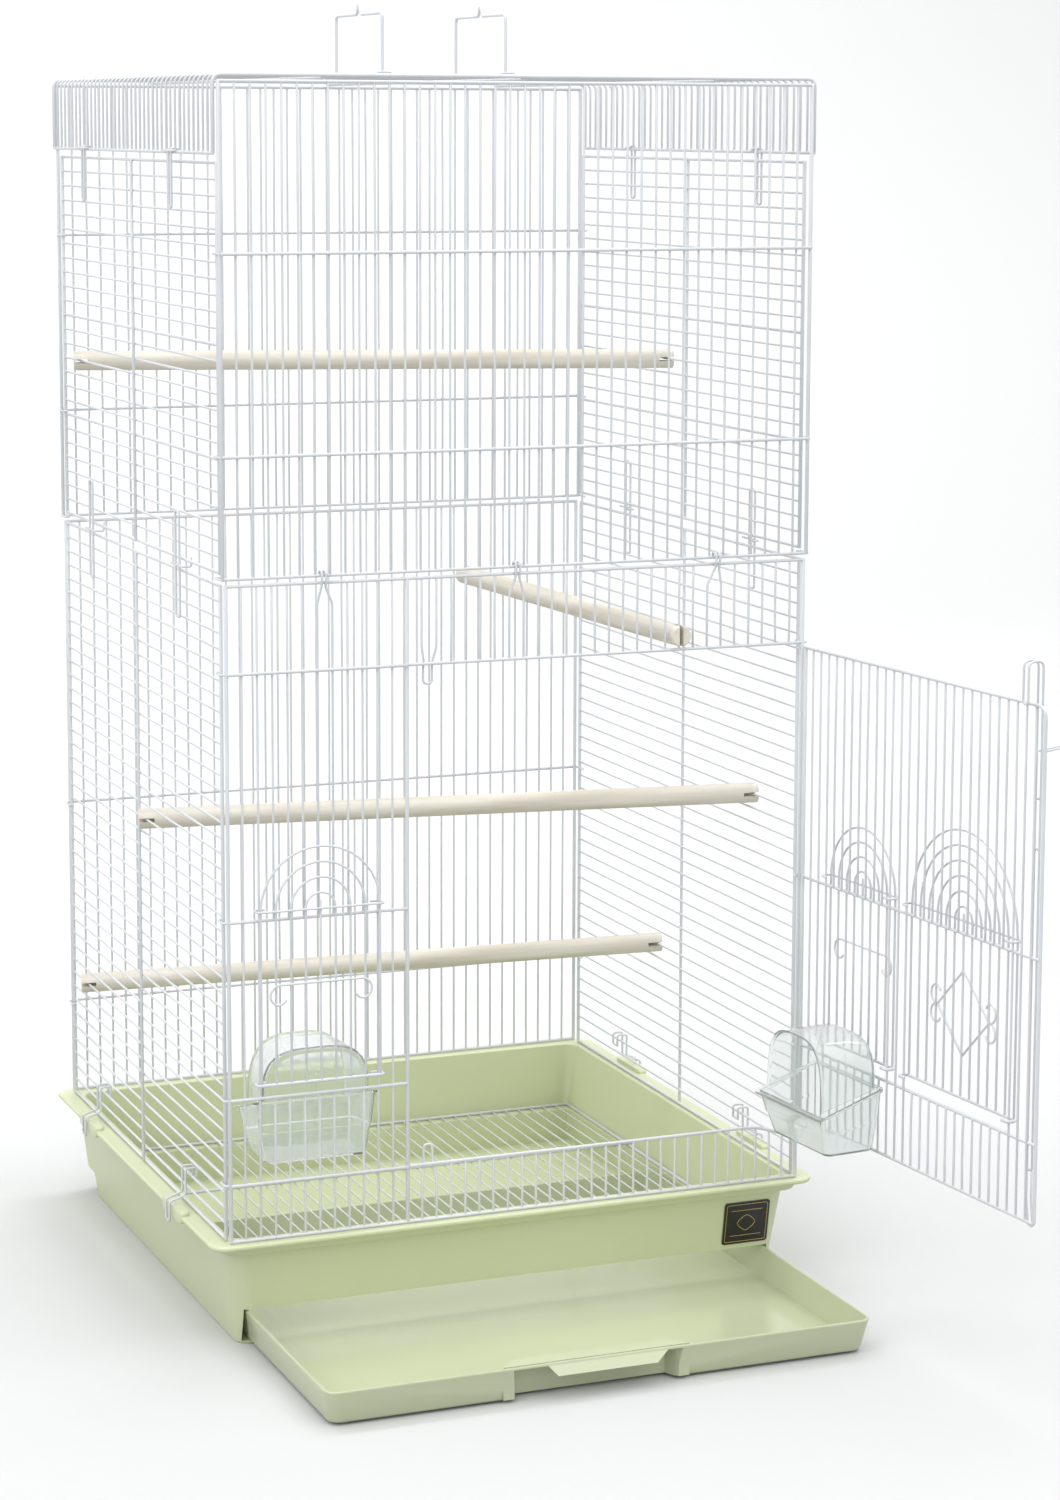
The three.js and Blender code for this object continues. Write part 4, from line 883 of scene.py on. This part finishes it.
def base_clip(side, y):
    """A snap loop that hangs on a side panel's wire and reaches down over the rim's lug."""
    shape = Shape()
    hang = LOWER_BOTTOM_Z + 2.5 * SIDE_LOWER_STEP
    inner, outer, low = side * (SIDE_X - 4), side * (SIDE_X + 4.6), side * (RIM_HALF_W + 3.2)
    profile = [[inner, hang - 9], [inner, hang], [outer, hang],
               [outer, RIM_Z + 10], [low, RIM_Z + 6], [low, RIM_Z - 9]]
    cut = [2.2, 2.2, 2.6, 2.2, 2.8]
    radius = grow("fill_radius")
    bent(shape, out_and_back(profile, y, 4.5), radius, cut + cut[::-1], steps=5, across=(0.001, 1, 0.1))
    tube(shape, [[inner, y - 5.3, hang - 9], [inner, y + 5.3, hang - 9]], radius)
    return shape


def roof_clip(side, y):
    """A long hairpin that hangs from the skirt's rail and springs over the side panel's wires."""
    shape = Shape()
    x = side * (SKIRT_X + RAIL + GAP + FILL + 0.3)
    inside = side * (SKIRT_X - RAIL - GAP - FILL - 0.3)
    over = SKIRT_BOTTOM + RAIL + GAP + FILL + 0.3
    end = SKIRT_BOTTOM - 39.7
    profile = [[inside, SKIRT_BOTTOM], [inside, over], [x, over], [x, end]]
    radius = grow("fill_radius")
    bent(shape, out_and_back(profile, y, 3.5), radius, [1.4, 1.4, 3, 3, 1.4, 1.4], 5, (0.001, 1, 0.1))
    tube(shape, [[x, y - 13, SKIRT_BOTTOM + 1], [x, y + 17, SKIRT_BOTTOM + 1]], radius)
    return shape


def seam_clip(side, y):
    """A long closed loop across the seam between the upper and the lower side panel."""
    shape = Shape()
    x = side * (SIDE_X + RAIL_OUT + RAIL + FILL + 0.5)
    inside = side * (SIDE_X - RAIL - GAP - FILL - 0.2)
    low, high = SEAM_Z - 36, SEAM_Z + 41
    seam = (SIDE_UPPER_BOTTOM + SIDE_LOWER_TOP) / 2
    radius = grow("fill_radius")
    loop = spot(x, y + np.array([0, 4.8, 4.8, -4.8, -4.8, 0]), [low, low, high, high, low, low])
    bent(shape, loop, radius, cut=3, across=(1, 0, 0))
    hook = [[x, y + 17, seam], [x, y - 12, seam], [inside, y - 12, seam], [inside, y - 12, seam + 7]]
    bent(shape, hook, radius, cut=1.4, across=(0.1, 0.2, 1))
    return shape


def build_clips():
    """The twelve clips that hold the base, the roof and the two rows of side panels together."""
    for word, side in (("left", -1), ("right", 1)):
        for end, y in zip(("front", "back"), CLIP_Y):
            place = f"{word}_{end}"
            for kind, clip in (("base", base_clip), ("roof", roof_clip), ("seam", seam_clip)):
                node = f"{kind}_clip_{place}"
                body = "cage" if kind == "seam" else node
                wire_piece(clip(side, y), f"wire_{node}", body, node)


def build_grille():
    """The grille over the tray: wires front to back, two cross rails on top, an edge wire all round."""
    shape = Shape()
    half = BASE_HALF_W - 1.4
    low, high = -BASE_HALF_D + 4, BASE_HALF_D + 5
    z = LEDGE_Z + GAP + EDGE
    rails(shape, spot(-half, [low, high], z), spot(half, [low, high], z))
    edges(shape, spot([-half, half], low - EDGE, z), spot([-half, half], high + EDGE, z))
    x = -half + np.arange(1, GRILLE_SPACES) * 2 * half / GRILLE_SPACES
    fill_wires(shape, spot(x, low, z), spot(x, high, z), 61, scale=0.85)
    y = np.array([low + 131, low + 262])
    rails(shape, spot(-half, y, z + 2), spot(half, y, z + 2))
    wire_piece(shape, "wire_floor_grille", "cage", "floor_grille")


# ---- base and tray -----------------------------------------------------------------------------
def build_base():
    """The moulded base: rounded rectangles stacked up the outside, over the rim and down the inside."""
    outer = [
        [BASE_HALF_W - 1, BASE_HALF_D - 1, 11, 0, 0],
        [BASE_HALF_W, BASE_HALF_D, 12, 1, 0],
        [BASE_HALF_W + 2.6, BASE_HALF_D + 3.2, 12, 20, 0],
        [BASE_HALF_W + 2.65, BASE_HALF_D + 12.8, 12, 20.5, 9.6],
        [WALL_TOP_HALF_W - 0.6, WALL_TOP_HALF_D + 5.6, 14, RIM_Z - 10.5, 6],
        [WALL_TOP_HALF_W + 5, WALL_TOP_HALF_D + 8.5, 12, RIM_Z - 10, 2],
        [WALL_TOP_HALF_W + 6.9, WALL_TOP_HALF_D + 10.4, 13, RIM_Z - 4.2, 2],
        [RIM_HALF_W - 1.2, RIM_HALF_D - 1.2, 12, RIM_Z - 4, 0],
        [RIM_HALF_W, RIM_HALF_D, 13, RIM_Z - 2.6, 0],
        [RIM_HALF_W, RIM_HALF_D, 13, RIM_Z - 0.8, 0],
        [RIM_HALF_W - 1, RIM_HALF_D - 1, 12, RIM_Z, 0],
    ]
    inner = [
        [WALL_TOP_HALF_W - 3, WALL_TOP_HALF_D - 3, 11, RIM_Z, 0],
        [BASE_HALF_W + 0.6, BASE_HALF_D + 6.2, 3, LEDGE_Z, 6],
        [CHANNEL_HALF_W, BASE_HALF_D - 3.6, 1.5, LEDGE_Z - 0.05, 0.6],
        [CHANNEL_HALF_W, BASE_HALF_D - 3.6, 1.5, FLOOR_T, 0.6],
    ]
    profile = rounded(np.array(outer + inner), 0.9, 3)
    shape = Shape()
    loft(shape, box_rings(profile))
    item = new_object(shape, "base_moulding", sharp=40)
    slot = Shape()
    x, front, back = CHANNEL_HALF_W, -RIM_HALF_D - 30, -BASE_HALF_D + 5
    loft(slot, prism([[-x, front], [x, front], [x, back], [-x, back]], FLOOR_T, SLOT_TOP))
    combine(item, slot, "DIFFERENCE")
    lugs = Shape()
    for y in CLIP_Y:
        for side in (-1, 1):
            rim_lug(lugs, side, y)
    combine(item, lugs, "UNION")
    finish_piece(item, "cage", "base_shell", plastic_material())


def rim_lug(shape, side, y):
    """A rounded block on the rim: superellipse outline in plan, its height falling off to the ends."""
    centre = side * (RIM_HALF_W - 2.75)
    a = np.linspace(0, 2 * np.pi, 33)[:-1]
    x = 4.25 * squared(np.cos(a), 0.35)
    w = 25.0 * squared(np.sin(a), 0.35)
    levels = rounded([[0.9, -6.0], [1.0, -5.0], [1.0, 1.6], [0.93, 3.0]], 1.4, 3)
    scale, height = levels[:, :1], levels[:, 1:]
    loft(shape, spot(centre + x * scale, y + w * scale, RIM_Z + height))


def build_tray():
    """The pull-out tray: a shallow box with a set-back hand recess and a pull lip at its front."""
    low = FLOOR_T + GAP
    y0 = TRAY_FRONT_Y
    half = TRAY_LENGTH / 2
    middle = y0 + half
    outer = [
        [TRAY_HALF_W - 5, half - 6, 8, low, middle + 1],
        [TRAY_HALF_W - 4, half - 5, 9, low + 1, middle + 1],
        [TRAY_HALF_W, half, 10, TRAY_TOP - 0.8, middle],
        [TRAY_HALF_W - 0.4, half - 0.4, 10, TRAY_TOP, middle],
    ]
    inner = [
        [TRAY_HALF_W - 2, half - 2, 8, TRAY_TOP, middle],
        [TRAY_HALF_W - 6, half - 7, 7, low + 2, middle + 1],
    ]
    shape = Shape()
    loft(shape, box_rings(rounded(np.array(outer), 0.8, 3)))
    item = new_object(shape, "tray_moulding", sharp=40)
    wall = Shape()
    loft(wall, prism([[-78, y0 + 4], [64, y0 + 4], [52, y0 + 18], [-66, y0 + 18]], low + 0.5, TRAY_TOP))
    hollow = Shape()
    top = [TRAY_HALF_W - 2, half - 2, 8, TRAY_TOP + 1, middle]
    loft(hollow, box_rings(rounded(np.array([top, *inner]), 3.0, 4)[::-1]))
    combine(item, hollow, "DIFFERENCE")
    combine(item, wall, "UNION")
    recess = Shape()
    loft(recess, prism([[-76, y0 - 9], [62, y0 - 9], [50, y0 + 16], [-64, y0 + 16]], -1, TRAY_TOP - 1.6))
    combine(item, recess, "DIFFERENCE")
    pull = Shape()
    t = np.linspace(0, 1, 6)[:, None]
    x = np.concatenate([-47 + 7 * t, 47 - 11 * t], axis=1)
    y, z = y0 + 0.6 - 5.1 * t, TRAY_TOP - 0.1 - 8 * t
    near, far = [spot(x, y + back, z - 0.3 * back * t) for back in (0.0, 2.2)]
    loft(pull, np.concatenate([near, far[:, ::-1]], axis=1)[::-1])
    combine(item, pull, "UNION")
    finish_piece(item, "tray", "pull_out_tray", tray_material_with_painted_shade())


# ---- cups, perches, label ----------------------------------------------------------------------
CUP_SLOPE = 18 / 56
CUP_WALL = 1.3


def cup_shape(x, height):
    """A tapering cup with a rolled lip: rounded rectangles up the outside and down the inside.

    Its mouth slopes: a point's height falls by the slope times its depth, in full at the lip and not at all
    at the floor.
    """
    profile = np.array([
        [37.6, 19.6, 5, -48, 23.2],
        [39, 21, 6, -46.8, 23],
        [42, 23.5, 5, -25, 24.6],
        [42.6, 24.1, 5, -24, 24.8],
        [44.9, 25.9, 4, -1.6, 26],
        [47.4, 27.9, 5, -1.4, 27.5],
        [47.5, 28, 5, -0.6, 27.5],
        [47.2, 27.7, 5, 0.2, 27.5],
        [43.6, 24.6, 3, 0.1, 26],
        [41, 22.5, 3.6, -24, 24.8],
        [37.5, 19.4, 4.4, -46.2, 23],
    ])
    rings = box_rings(rounded(profile, 0.7, 2), steps=5, ease=1.5)
    share = np.clip((rings[..., 2] + 46) / 46, 0, 1)
    rings[..., 2] -= share * CUP_SLOPE * rings[..., 1]
    shape = Shape()
    loft(shape, rings + np.array([x, 4.0, height]))
    return shape


def hood_shape(x, height):
    """A vault over the cup: square-shouldered arches from the closed back to the open mouth.

    A point is (half width cos a, depth, foot + (top - foot) sin a), where the foot follows the cup's
    sloping lip. The same arches, a wall's thickness in, lead back inside.
    """
    stations = rounded([[0.5, 16, 3.2], [36, 31.5, 3.2], [40.8, 35, 4.4], [40.8, 35.5, 14],
                        [38.5, 36, 36], [37, 35, 47], [38, 36, 48.5]], 1.5, 3)
    inside = np.maximum(stations - (CUP_WALL, CUP_WALL, 0), (0.2, 15.5, 4.5))
    loop = np.concatenate([stations, inside[::-1]])
    a = np.linspace(0, np.pi, 27)[:, None]
    foot = -CUP_SLOPE * loop[None, :, 2]
    points = spot(
        x + loop[None, :, 0] * squared(np.cos(a)),
        4.2 + loop[None, :, 2],
        height + foot + (loop[None, :, 1] - foot) * np.abs(squared(np.sin(a))),
    )
    shape = Shape()
    rows, columns = points.shape[:2]
    i = np.arange(len(stations) - 1)
    foot_faces = np.stack([i, i + 1, columns - 2 - i, columns - 1 - i], axis=-1)
    shape.add(points, ring_faces(rows, columns), foot_faces[:, ::-1], foot_faces + (rows - 1) * columns)
    return shape


def build_cups():
    """The two clear feeding cups and their hoods, one behind the front panel and one behind the door."""
    height = FEEDER_BOTTOM_Z - 4
    for word, x, body in (
        ("front", lower_x(FEEDER_CENTRE), "cage"),
        ("door", door_x(DOOR_FEEDER_CENTRE), "main_door"),
    ):
        for part, shape in (("cup", cup_shape(x, height)), ("cup_hood", hood_shape(x, height + 0.5))):
            moved = shape.placed(0, FRONT_Y, 0) if word == "front" else on_door(shape)
            item = new_object(moved, f"clear_{word}_{part}", sharp=28)
            finish_piece(item, body, f"{word}_{part}", clear_material())


def build_perches():
    """Four wooden dowels, slotted at both ends where they straddle a wire."""
    side_end = SIDE_X + 5
    front_end = FRONT_Y - 5
    upper = SIDE_UPPER_BOTTOM + np.arange(SIDE_UPPER_SPACES) * SIDE_UPPER_STEP
    lower = LOWER_BOTTOM_Z + np.arange(SIDE_LOWER_SPACES) * SIDE_LOWER_STEP
    beside = -(RAIL + PERCH_R + 0.15)
    above = BAND_Z + RAIL + PERCH_R + 1.35
    level, upright = (0.0, 1.0, 0.0), (0.0, 0.0, 1.0)
    perches = (
        ("perch_back_high", (-side_end, 164, upper[11]), (side_end, 33, upper[11]), level),
        ("perch_middle", (-side_end, beside, lower[24]), (side_end, -134, lower[25]), level),
        ("perch_back_low", (-side_end, 170, lower[9]), (side_end, 46, lower[11]), level),
        ("perch_front_to_back", (lower_x(31), -front_end, above - 7.4),
         (lower_x(31), front_end, above), upright),
    )
    for name, start, end, across in perches:
        start, end, across = (np.array(v, float) for v in (start, end, across))
        along = unit(end - start)
        x = unit(across - along * (across @ along))
        z = np.cross(x, along)
        shape = Shape()
        length = np.linalg.norm(end - start)
        a = np.linspace(0, 2 * np.pi, 29)[:-1][None, :, None]
        where = np.concatenate([[0, 0.9], np.linspace(13, length - 13, 7), [length - 0.9, length]])
        where = where[:, None, None]
        radius = np.full(where.shape, PERCH_R)
        radius[[0, -1]] -= 0.9
        rings = start + along * where + radius * (np.cos(a) * z + np.sin(a) * x)
        loft(shape, rings)
        item = new_object(shape, f"dowel_{name}", sharp=40)
        for centre in (start, end):
            corners = np.array([[-1, -1], [1, -1], [1, 1], [-1, 1]], float)
            low = centre - along * 12 + corners[:, :1] * x * 12 + corners[:, 1:] * z * 1.6
            high = low + along * 24
            notch = Shape()
            loft(notch, np.stack([low, high])[:, ::-1])
            combine(item, notch, "DIFFERENCE")
        material = wood_material(f"raw wood {name}", start, end)
        finish_piece(item, "cage", name, material)


def build_label():
    """The dark plate on the front wall with a thin gold frame and a plain gold lozenge."""
    half_w, half_h, half_t = 19.0, 17.5, 0.4
    height = SLOT_TOP + 3.5 + half_h
    foot = BASE_HALF_D + 3.2
    lean = (WALL_TOP_HALF_D - foot) / (RIM_Z - 8 - 20)
    middle = np.array([BASE_HALF_W - 24, -(foot + lean * (height - 20)) - half_t - 1.25 * GAP, height])
    tilt = math.atan(lean)

    def leaned(points):
        """A plate in the XY plane stood up on the wall and leaned out with it."""
        x, up, out = np.moveaxis(np.asarray(points, float), -1, 0)
        c, s = math.cos(tilt), math.sin(tilt)
        return middle + spot(x, -out * c - up * s, up * c - out * s)

    shape = Shape()
    profile = [[half_w - 0.3, half_h - 0.3, 2, -half_t, 0], [half_w, half_h, 2.2, -half_t + 0.2, 0],
               [half_w, half_h, 2.2, half_t - 0.4, 0], [half_w - 0.3, half_h - 0.3, 2, half_t - 0.2, 0]]
    loft(shape, leaned(box_rings(profile, steps=4, ease=0.5)))
    item = new_object(shape, "label_plate", sharp=40)
    finish_piece(item, "cage", "base_label_plate", plate_material())
    gold = Shape()
    frame_path = box_rings([[half_w - 2, half_h - 2, 1.5, half_t - 0.2, 0]], steps=4, ease=0.5)[0]
    tube(gold, leaned(np.concatenate([frame_path, frame_path[:2]])), 0.2, sides=6)
    a = np.linspace(0, 2 * np.pi, 41)
    lozenge = spot(7.5 * squared(np.cos(a), 1.5), 6.5 * squared(np.sin(a), 1.5), half_t - 0.2)
    tube(gold, leaned(lozenge), 0.2, sides=6)
    lines = [[[-13, z, half_t - 0.2], [13, z, half_t - 0.2]] for z in (-10.5, 10.5)]
    tube(gold, leaned(np.array(lines)), 0.2, sides=6)
    finish_piece(new_object(gold, "label_gold_lines"), "cage", None, gold_material())


# ---- stage -------------------------------------------------------------------------------------
# metres, and degrees of yaw, pitch and roll
CAMERA_PLACE = (-0.9453, -2.5738, 0.8828)
CAMERA_TURN = (21.986, 8.05, 0.186)
CAMERA_LENS = 84.814
CAMERA_SHIFT = -0.0847


def area_light(name, place, target, size, power):
    """A soft square light that faces a point."""
    data = bpy.data.lights.new(name, "AREA")
    data.shape = "RECTANGLE"
    data.size, data.size_y = size
    data.energy = power
    lamp = bpy.data.objects.new(name, data)
    lamp.location = place
    lamp.rotation_euler = (Vector(target) - Vector(place)).to_track_quat("-Z", "Y").to_euler()
    bpy.context.scene.collection.objects.link(lamp)


def floor_material():
    """Pale matt paper, which throws back less light on the cage than it shows."""
    settings = bpy.context.scene.bird_cage_stage
    colour = tuple(settings.floor)
    material = mottled("pale studio floor", colour, shade(colour, 0.995), 0.75, 0.85,
                       slow=0.6, fine=80, bump=0.01, depth=0.0002)
    nodes, links = material.node_tree.nodes, material.node_tree.links
    shader = nodes["Principled BSDF"]
    path = nodes.new("ShaderNodeLightPath")
    mix = nodes.new("ShaderNodeMix")
    mix.data_type = "RGBA"
    links.new(path.outputs["Is Diffuse Ray"], mix.inputs[0])
    links.new(shader.inputs["Base Color"].links[0].from_socket, mix.inputs[6])
    mix.inputs[7].default_value = (*shade(colour, settings.bounce), 1)
    links.new(mix.outputs[2], shader.inputs["Base Color"])
    return material


def build_stage():
    """A pale floor that sweeps up behind, soft lights, and a camera at the left of the front."""
    settings = bpy.context.scene.bird_cage_stage
    floor_level = CAD_BOX[0].z * 1000
    line = rounded([[-9000.0, floor_level], [5200.0, floor_level], [5200.0, 6500.0]], 2200, 16)
    points = spot([-18000.0, 18000.0], line[:, :1], line[:, 1:])
    i = np.arange(len(line) - 1)
    shape = Shape()
    shape.add(points, np.stack([2 * i, 2 * i + 1, 2 * i + 3, 2 * i + 2], axis=-1))
    floor = new_object(shape, "studio_floor")
    floor.data.materials.append(floor_material())

    scene = bpy.context.scene
    scene.view_settings.view_transform = "Standard"
    world = bpy.data.worlds.new("soft studio")
    world.use_nodes = True
    background = world.node_tree.nodes["Background"]
    background.inputs["Color"].default_value = (0.97, 0.985, 1.0, 1)
    background.inputs["Strength"].default_value = settings.sky
    scene.world = world
    target = (0, 0, 0.4)
    area_light("key_left", (-3.6, -1.6, 2.6), target, (2.4, 2.4), settings.key)
    area_light("top", (0.5, -0.7, 3.8), target, (3.2, 3.2), settings.top)
    area_light("front_fill", (1.4, -3.4, 3.4), target, (2.6, 2.2), settings.fill)
    area_light("backdrop", (0, 1.6, 5.0), (0, 5.2, 1.6), (7.0, 2.0), settings.backdrop)

    camera_data = bpy.data.cameras.new("camera")
    camera_data.lens = CAMERA_LENS
    camera_data.sensor_width = 36
    camera_data.shift_y = CAMERA_SHIFT
    camera = bpy.data.objects.new("camera", camera_data)
    yaw, pitch, roll = (math.radians(v) for v in CAMERA_TURN)
    turn = (Matrix.Rotation(-yaw, 4, "Z") @ Matrix.Rotation(math.pi / 2 - pitch, 4, "X")
            @ Matrix.Rotation(roll, 4, "Z"))
    camera.matrix_world = Matrix.Translation(CAMERA_PLACE) @ turn
    scene.collection.objects.link(camera)
    scene.camera = camera


# ---- settings, operators and panel -------------------------------------------------------------
class BirdCageSizes(bpy.types.PropertyGroup):
    """Wire sizes of the cage."""

    fill_radius: FloatProperty(name="Fill wire radius", description="Radius of the thin wires",
                               default=0.00088, min=0.0005, max=0.0012, unit="LENGTH", precision=5)
    rail_radius: FloatProperty(name="Rail radius", description="Radius of the cross rails",
                               default=0.00122, min=0.0008, max=0.0016, unit="LENGTH", precision=5)
    edge_radius: FloatProperty(name="Edge radius", description="Radius of the panels' edge wires",
                               default=0.00145, min=0.001, max=0.0018, unit="LENGTH", precision=5)
    bow: FloatProperty(name="Wire bow", description="How far a thin wire strays from a straight line",
                       default=0.00035, min=0.0, max=0.0008, unit="LENGTH", precision=5)


class BirdCageColours(bpy.types.PropertyGroup):
    """Colours of the cage."""

    wire: FloatVectorProperty(name="Wire", description="Colour of the powder coat",
                              default=(0.66, 0.68, 0.705), subtype="COLOR", min=0, max=1)
    plastic: FloatVectorProperty(name="Plastic", description="Colour of the base",
                                 default=(0.612, 0.658, 0.425), subtype="COLOR", min=0, max=1)
    # The tray's colour is the base plastic painted darker: painted shade for the shadow on the tray, not a
    # darker plastic.
    tray: FloatVectorProperty(name="Tray plastic", description="Colour of the pull-out tray",
                              default=(0.52, 0.56, 0.375), subtype="COLOR", min=0, max=1)
    clear: FloatVectorProperty(name="Clear plastic", description="Tint of the cups and their hoods",
                               default=(0.96, 0.985, 0.98), subtype="COLOR", min=0, max=1)
    wood: FloatVectorProperty(name="Wood", description="Lighter colour of the perches",
                              default=(0.74, 0.705, 0.62), subtype="COLOR", min=0, max=1)
    wood_grain: FloatVectorProperty(name="Wood grain", description="Darker colour of the perches",
                                    default=(0.58, 0.53, 0.44), subtype="COLOR", min=0, max=1)
    plate: FloatVectorProperty(name="Label", description="Colour of the label's plate",
                               default=(0.014, 0.013, 0.012), subtype="COLOR", min=0, max=1)


class BirdCageStage(bpy.types.PropertyGroup):
    """Lights and floor of the studio."""

    floor: FloatVectorProperty(name="Floor", description="Colour of the studio floor",
                               default=(0.605, 0.606, 0.603), subtype="COLOR", min=0, max=1)
    bounce: FloatProperty(name="Bounce", description="Share of the floor's light that reaches the cage",
                          default=0.6, min=0, max=1)
    sky: FloatProperty(name="Sky", description="Strength of the even light all round", default=1.06, min=0)
    key: FloatProperty(name="Key light", description="Power of the light at the left",
                       default=52, min=0, unit="POWER")
    top: FloatProperty(name="Top light", description="Power of the light above",
                       default=40, min=0, unit="POWER")
    backdrop: FloatProperty(name="Backdrop light", description="Power of the light on the backdrop",
                            default=290, min=0, unit="POWER")
    fill: FloatProperty(name="Fill light", description="Power of the light in front",
                        default=24, min=0, unit="POWER")


class BirdCageRoof(bpy.types.Operator):
    """Makes the wire roof"""

    bl_idname = "bird_cage.roof"
    bl_label = "Roof"

    def execute(self, context):
        build_roof()
        return {"FINISHED"}


class BirdCagePanels(bpy.types.Operator):
    """Makes the fixed wire panels of the front, the back and the sides"""

    bl_idname = "bird_cage.panels"
    bl_label = "Fixed panels"

    def execute(self, context):
        build_upper_panels()
        build_side_panels()
        build_back_lower_panel()
        build_front_lower_panel()
        return {"FINISHED"}


class BirdCageDoor(bpy.types.Operator):
    """Makes the main door and its latch"""

    bl_idname = "bird_cage.door"
    bl_label = "Main door and latch"

    def execute(self, context):
        build_main_door()
        build_latch()
        return {"FINISHED"}


class BirdCageSliders(bpy.types.Operator):
    """Makes the sliding doors"""

    bl_idname = "bird_cage.sliders"
    bl_label = "Sliding doors"

    def execute(self, context):
        build_sliding_doors()
        return {"FINISHED"}


class BirdCageHandles(bpy.types.Operator):
    """Makes the carrying handles"""

    bl_idname = "bird_cage.handles"
    bl_label = "Handles"

    def execute(self, context):
        build_handles()
        return {"FINISHED"}


class BirdCageClips(bpy.types.Operator):
    """Makes the base, roof and seam clips"""

    bl_idname = "bird_cage.clips"
    bl_label = "Clips"

    def execute(self, context):
        build_clips()
        return {"FINISHED"}


class BirdCageGrille(bpy.types.Operator):
    """Makes the grille over the tray"""

    bl_idname = "bird_cage.grille"
    bl_label = "Floor grille"

    def execute(self, context):
        build_grille()
        return {"FINISHED"}


class BirdCageBase(bpy.types.Operator):
    """Makes the moulded base and its label"""

    bl_idname = "bird_cage.base"
    bl_label = "Base and label"

    def execute(self, context):
        build_base()
        build_label()
        return {"FINISHED"}


class BirdCageTray(bpy.types.Operator):
    """Makes the pull-out tray"""

    bl_idname = "bird_cage.tray"
    bl_label = "Tray"

    def execute(self, context):
        build_tray()
        return {"FINISHED"}


class BirdCageCups(bpy.types.Operator):
    """Makes the feeding cups and their hoods"""

    bl_idname = "bird_cage.cups"
    bl_label = "Cups"

    def execute(self, context):
        build_cups()
        return {"FINISHED"}


class BirdCagePerches(bpy.types.Operator):
    """Makes the wooden perches"""

    bl_idname = "bird_cage.perches"
    bl_label = "Perches"

    def execute(self, context):
        build_perches()
        return {"FINISHED"}


class BirdCageStudio(bpy.types.Operator):
    """Makes the floor, the lights and the camera"""

    bl_idname = "bird_cage.studio"
    bl_label = "Studio"

    def execute(self, context):
        build_stage()
        return {"FINISHED"}


OPERATORS = (
    BirdCageBase, BirdCageTray, BirdCageGrille, BirdCagePanels, BirdCageRoof, BirdCageDoor, BirdCageSliders,
    BirdCageHandles, BirdCageClips, BirdCageCups, BirdCagePerches, BirdCageStudio,
)
SETTINGS = (
    ("bird_cage_sizes", BirdCageSizes),
    ("bird_cage_colours", BirdCageColours),
    ("bird_cage_stage", BirdCageStage),
)


class BirdCagePanel(bpy.types.Panel):
    """Lists the cage's settings and the steps that build it"""

    bl_idname = "VIEW3D_PT_bird_cage"
    bl_label = "Bird cage"
    bl_space_type = "VIEW_3D"
    bl_region_type = "UI"
    bl_category = "Bird cage"

    def draw(self, context):
        for name, group in SETTINGS:
            box = self.layout.box()
            for prop in group.__annotations__:
                box.prop(getattr(context.scene, name), prop)
        for operator in OPERATORS:
            self.layout.operator(operator.bl_idname)


def register():
    """Adds the settings, the operators and the panel to Blender."""
    for name, group in SETTINGS:
        bpy.utils.register_class(group)
        setattr(bpy.types.Scene, name, PointerProperty(type=group))
    for item in (*OPERATORS, BirdCagePanel):
        bpy.utils.register_class(item)


def unregister():
    """Takes the settings, the operators and the panel away again."""
    for item in (BirdCagePanel, *reversed(OPERATORS)):
        bpy.utils.unregister_class(item)
    for name, group in reversed(SETTINGS):
        delattr(bpy.types.Scene, name)
        bpy.utils.unregister_class(group)


def main():
    register()
    for operator in OPERATORS:
        family, name = operator.bl_idname.split(".")
        getattr(getattr(bpy.ops, family), name)()


if __name__ == "__main__":
    main()
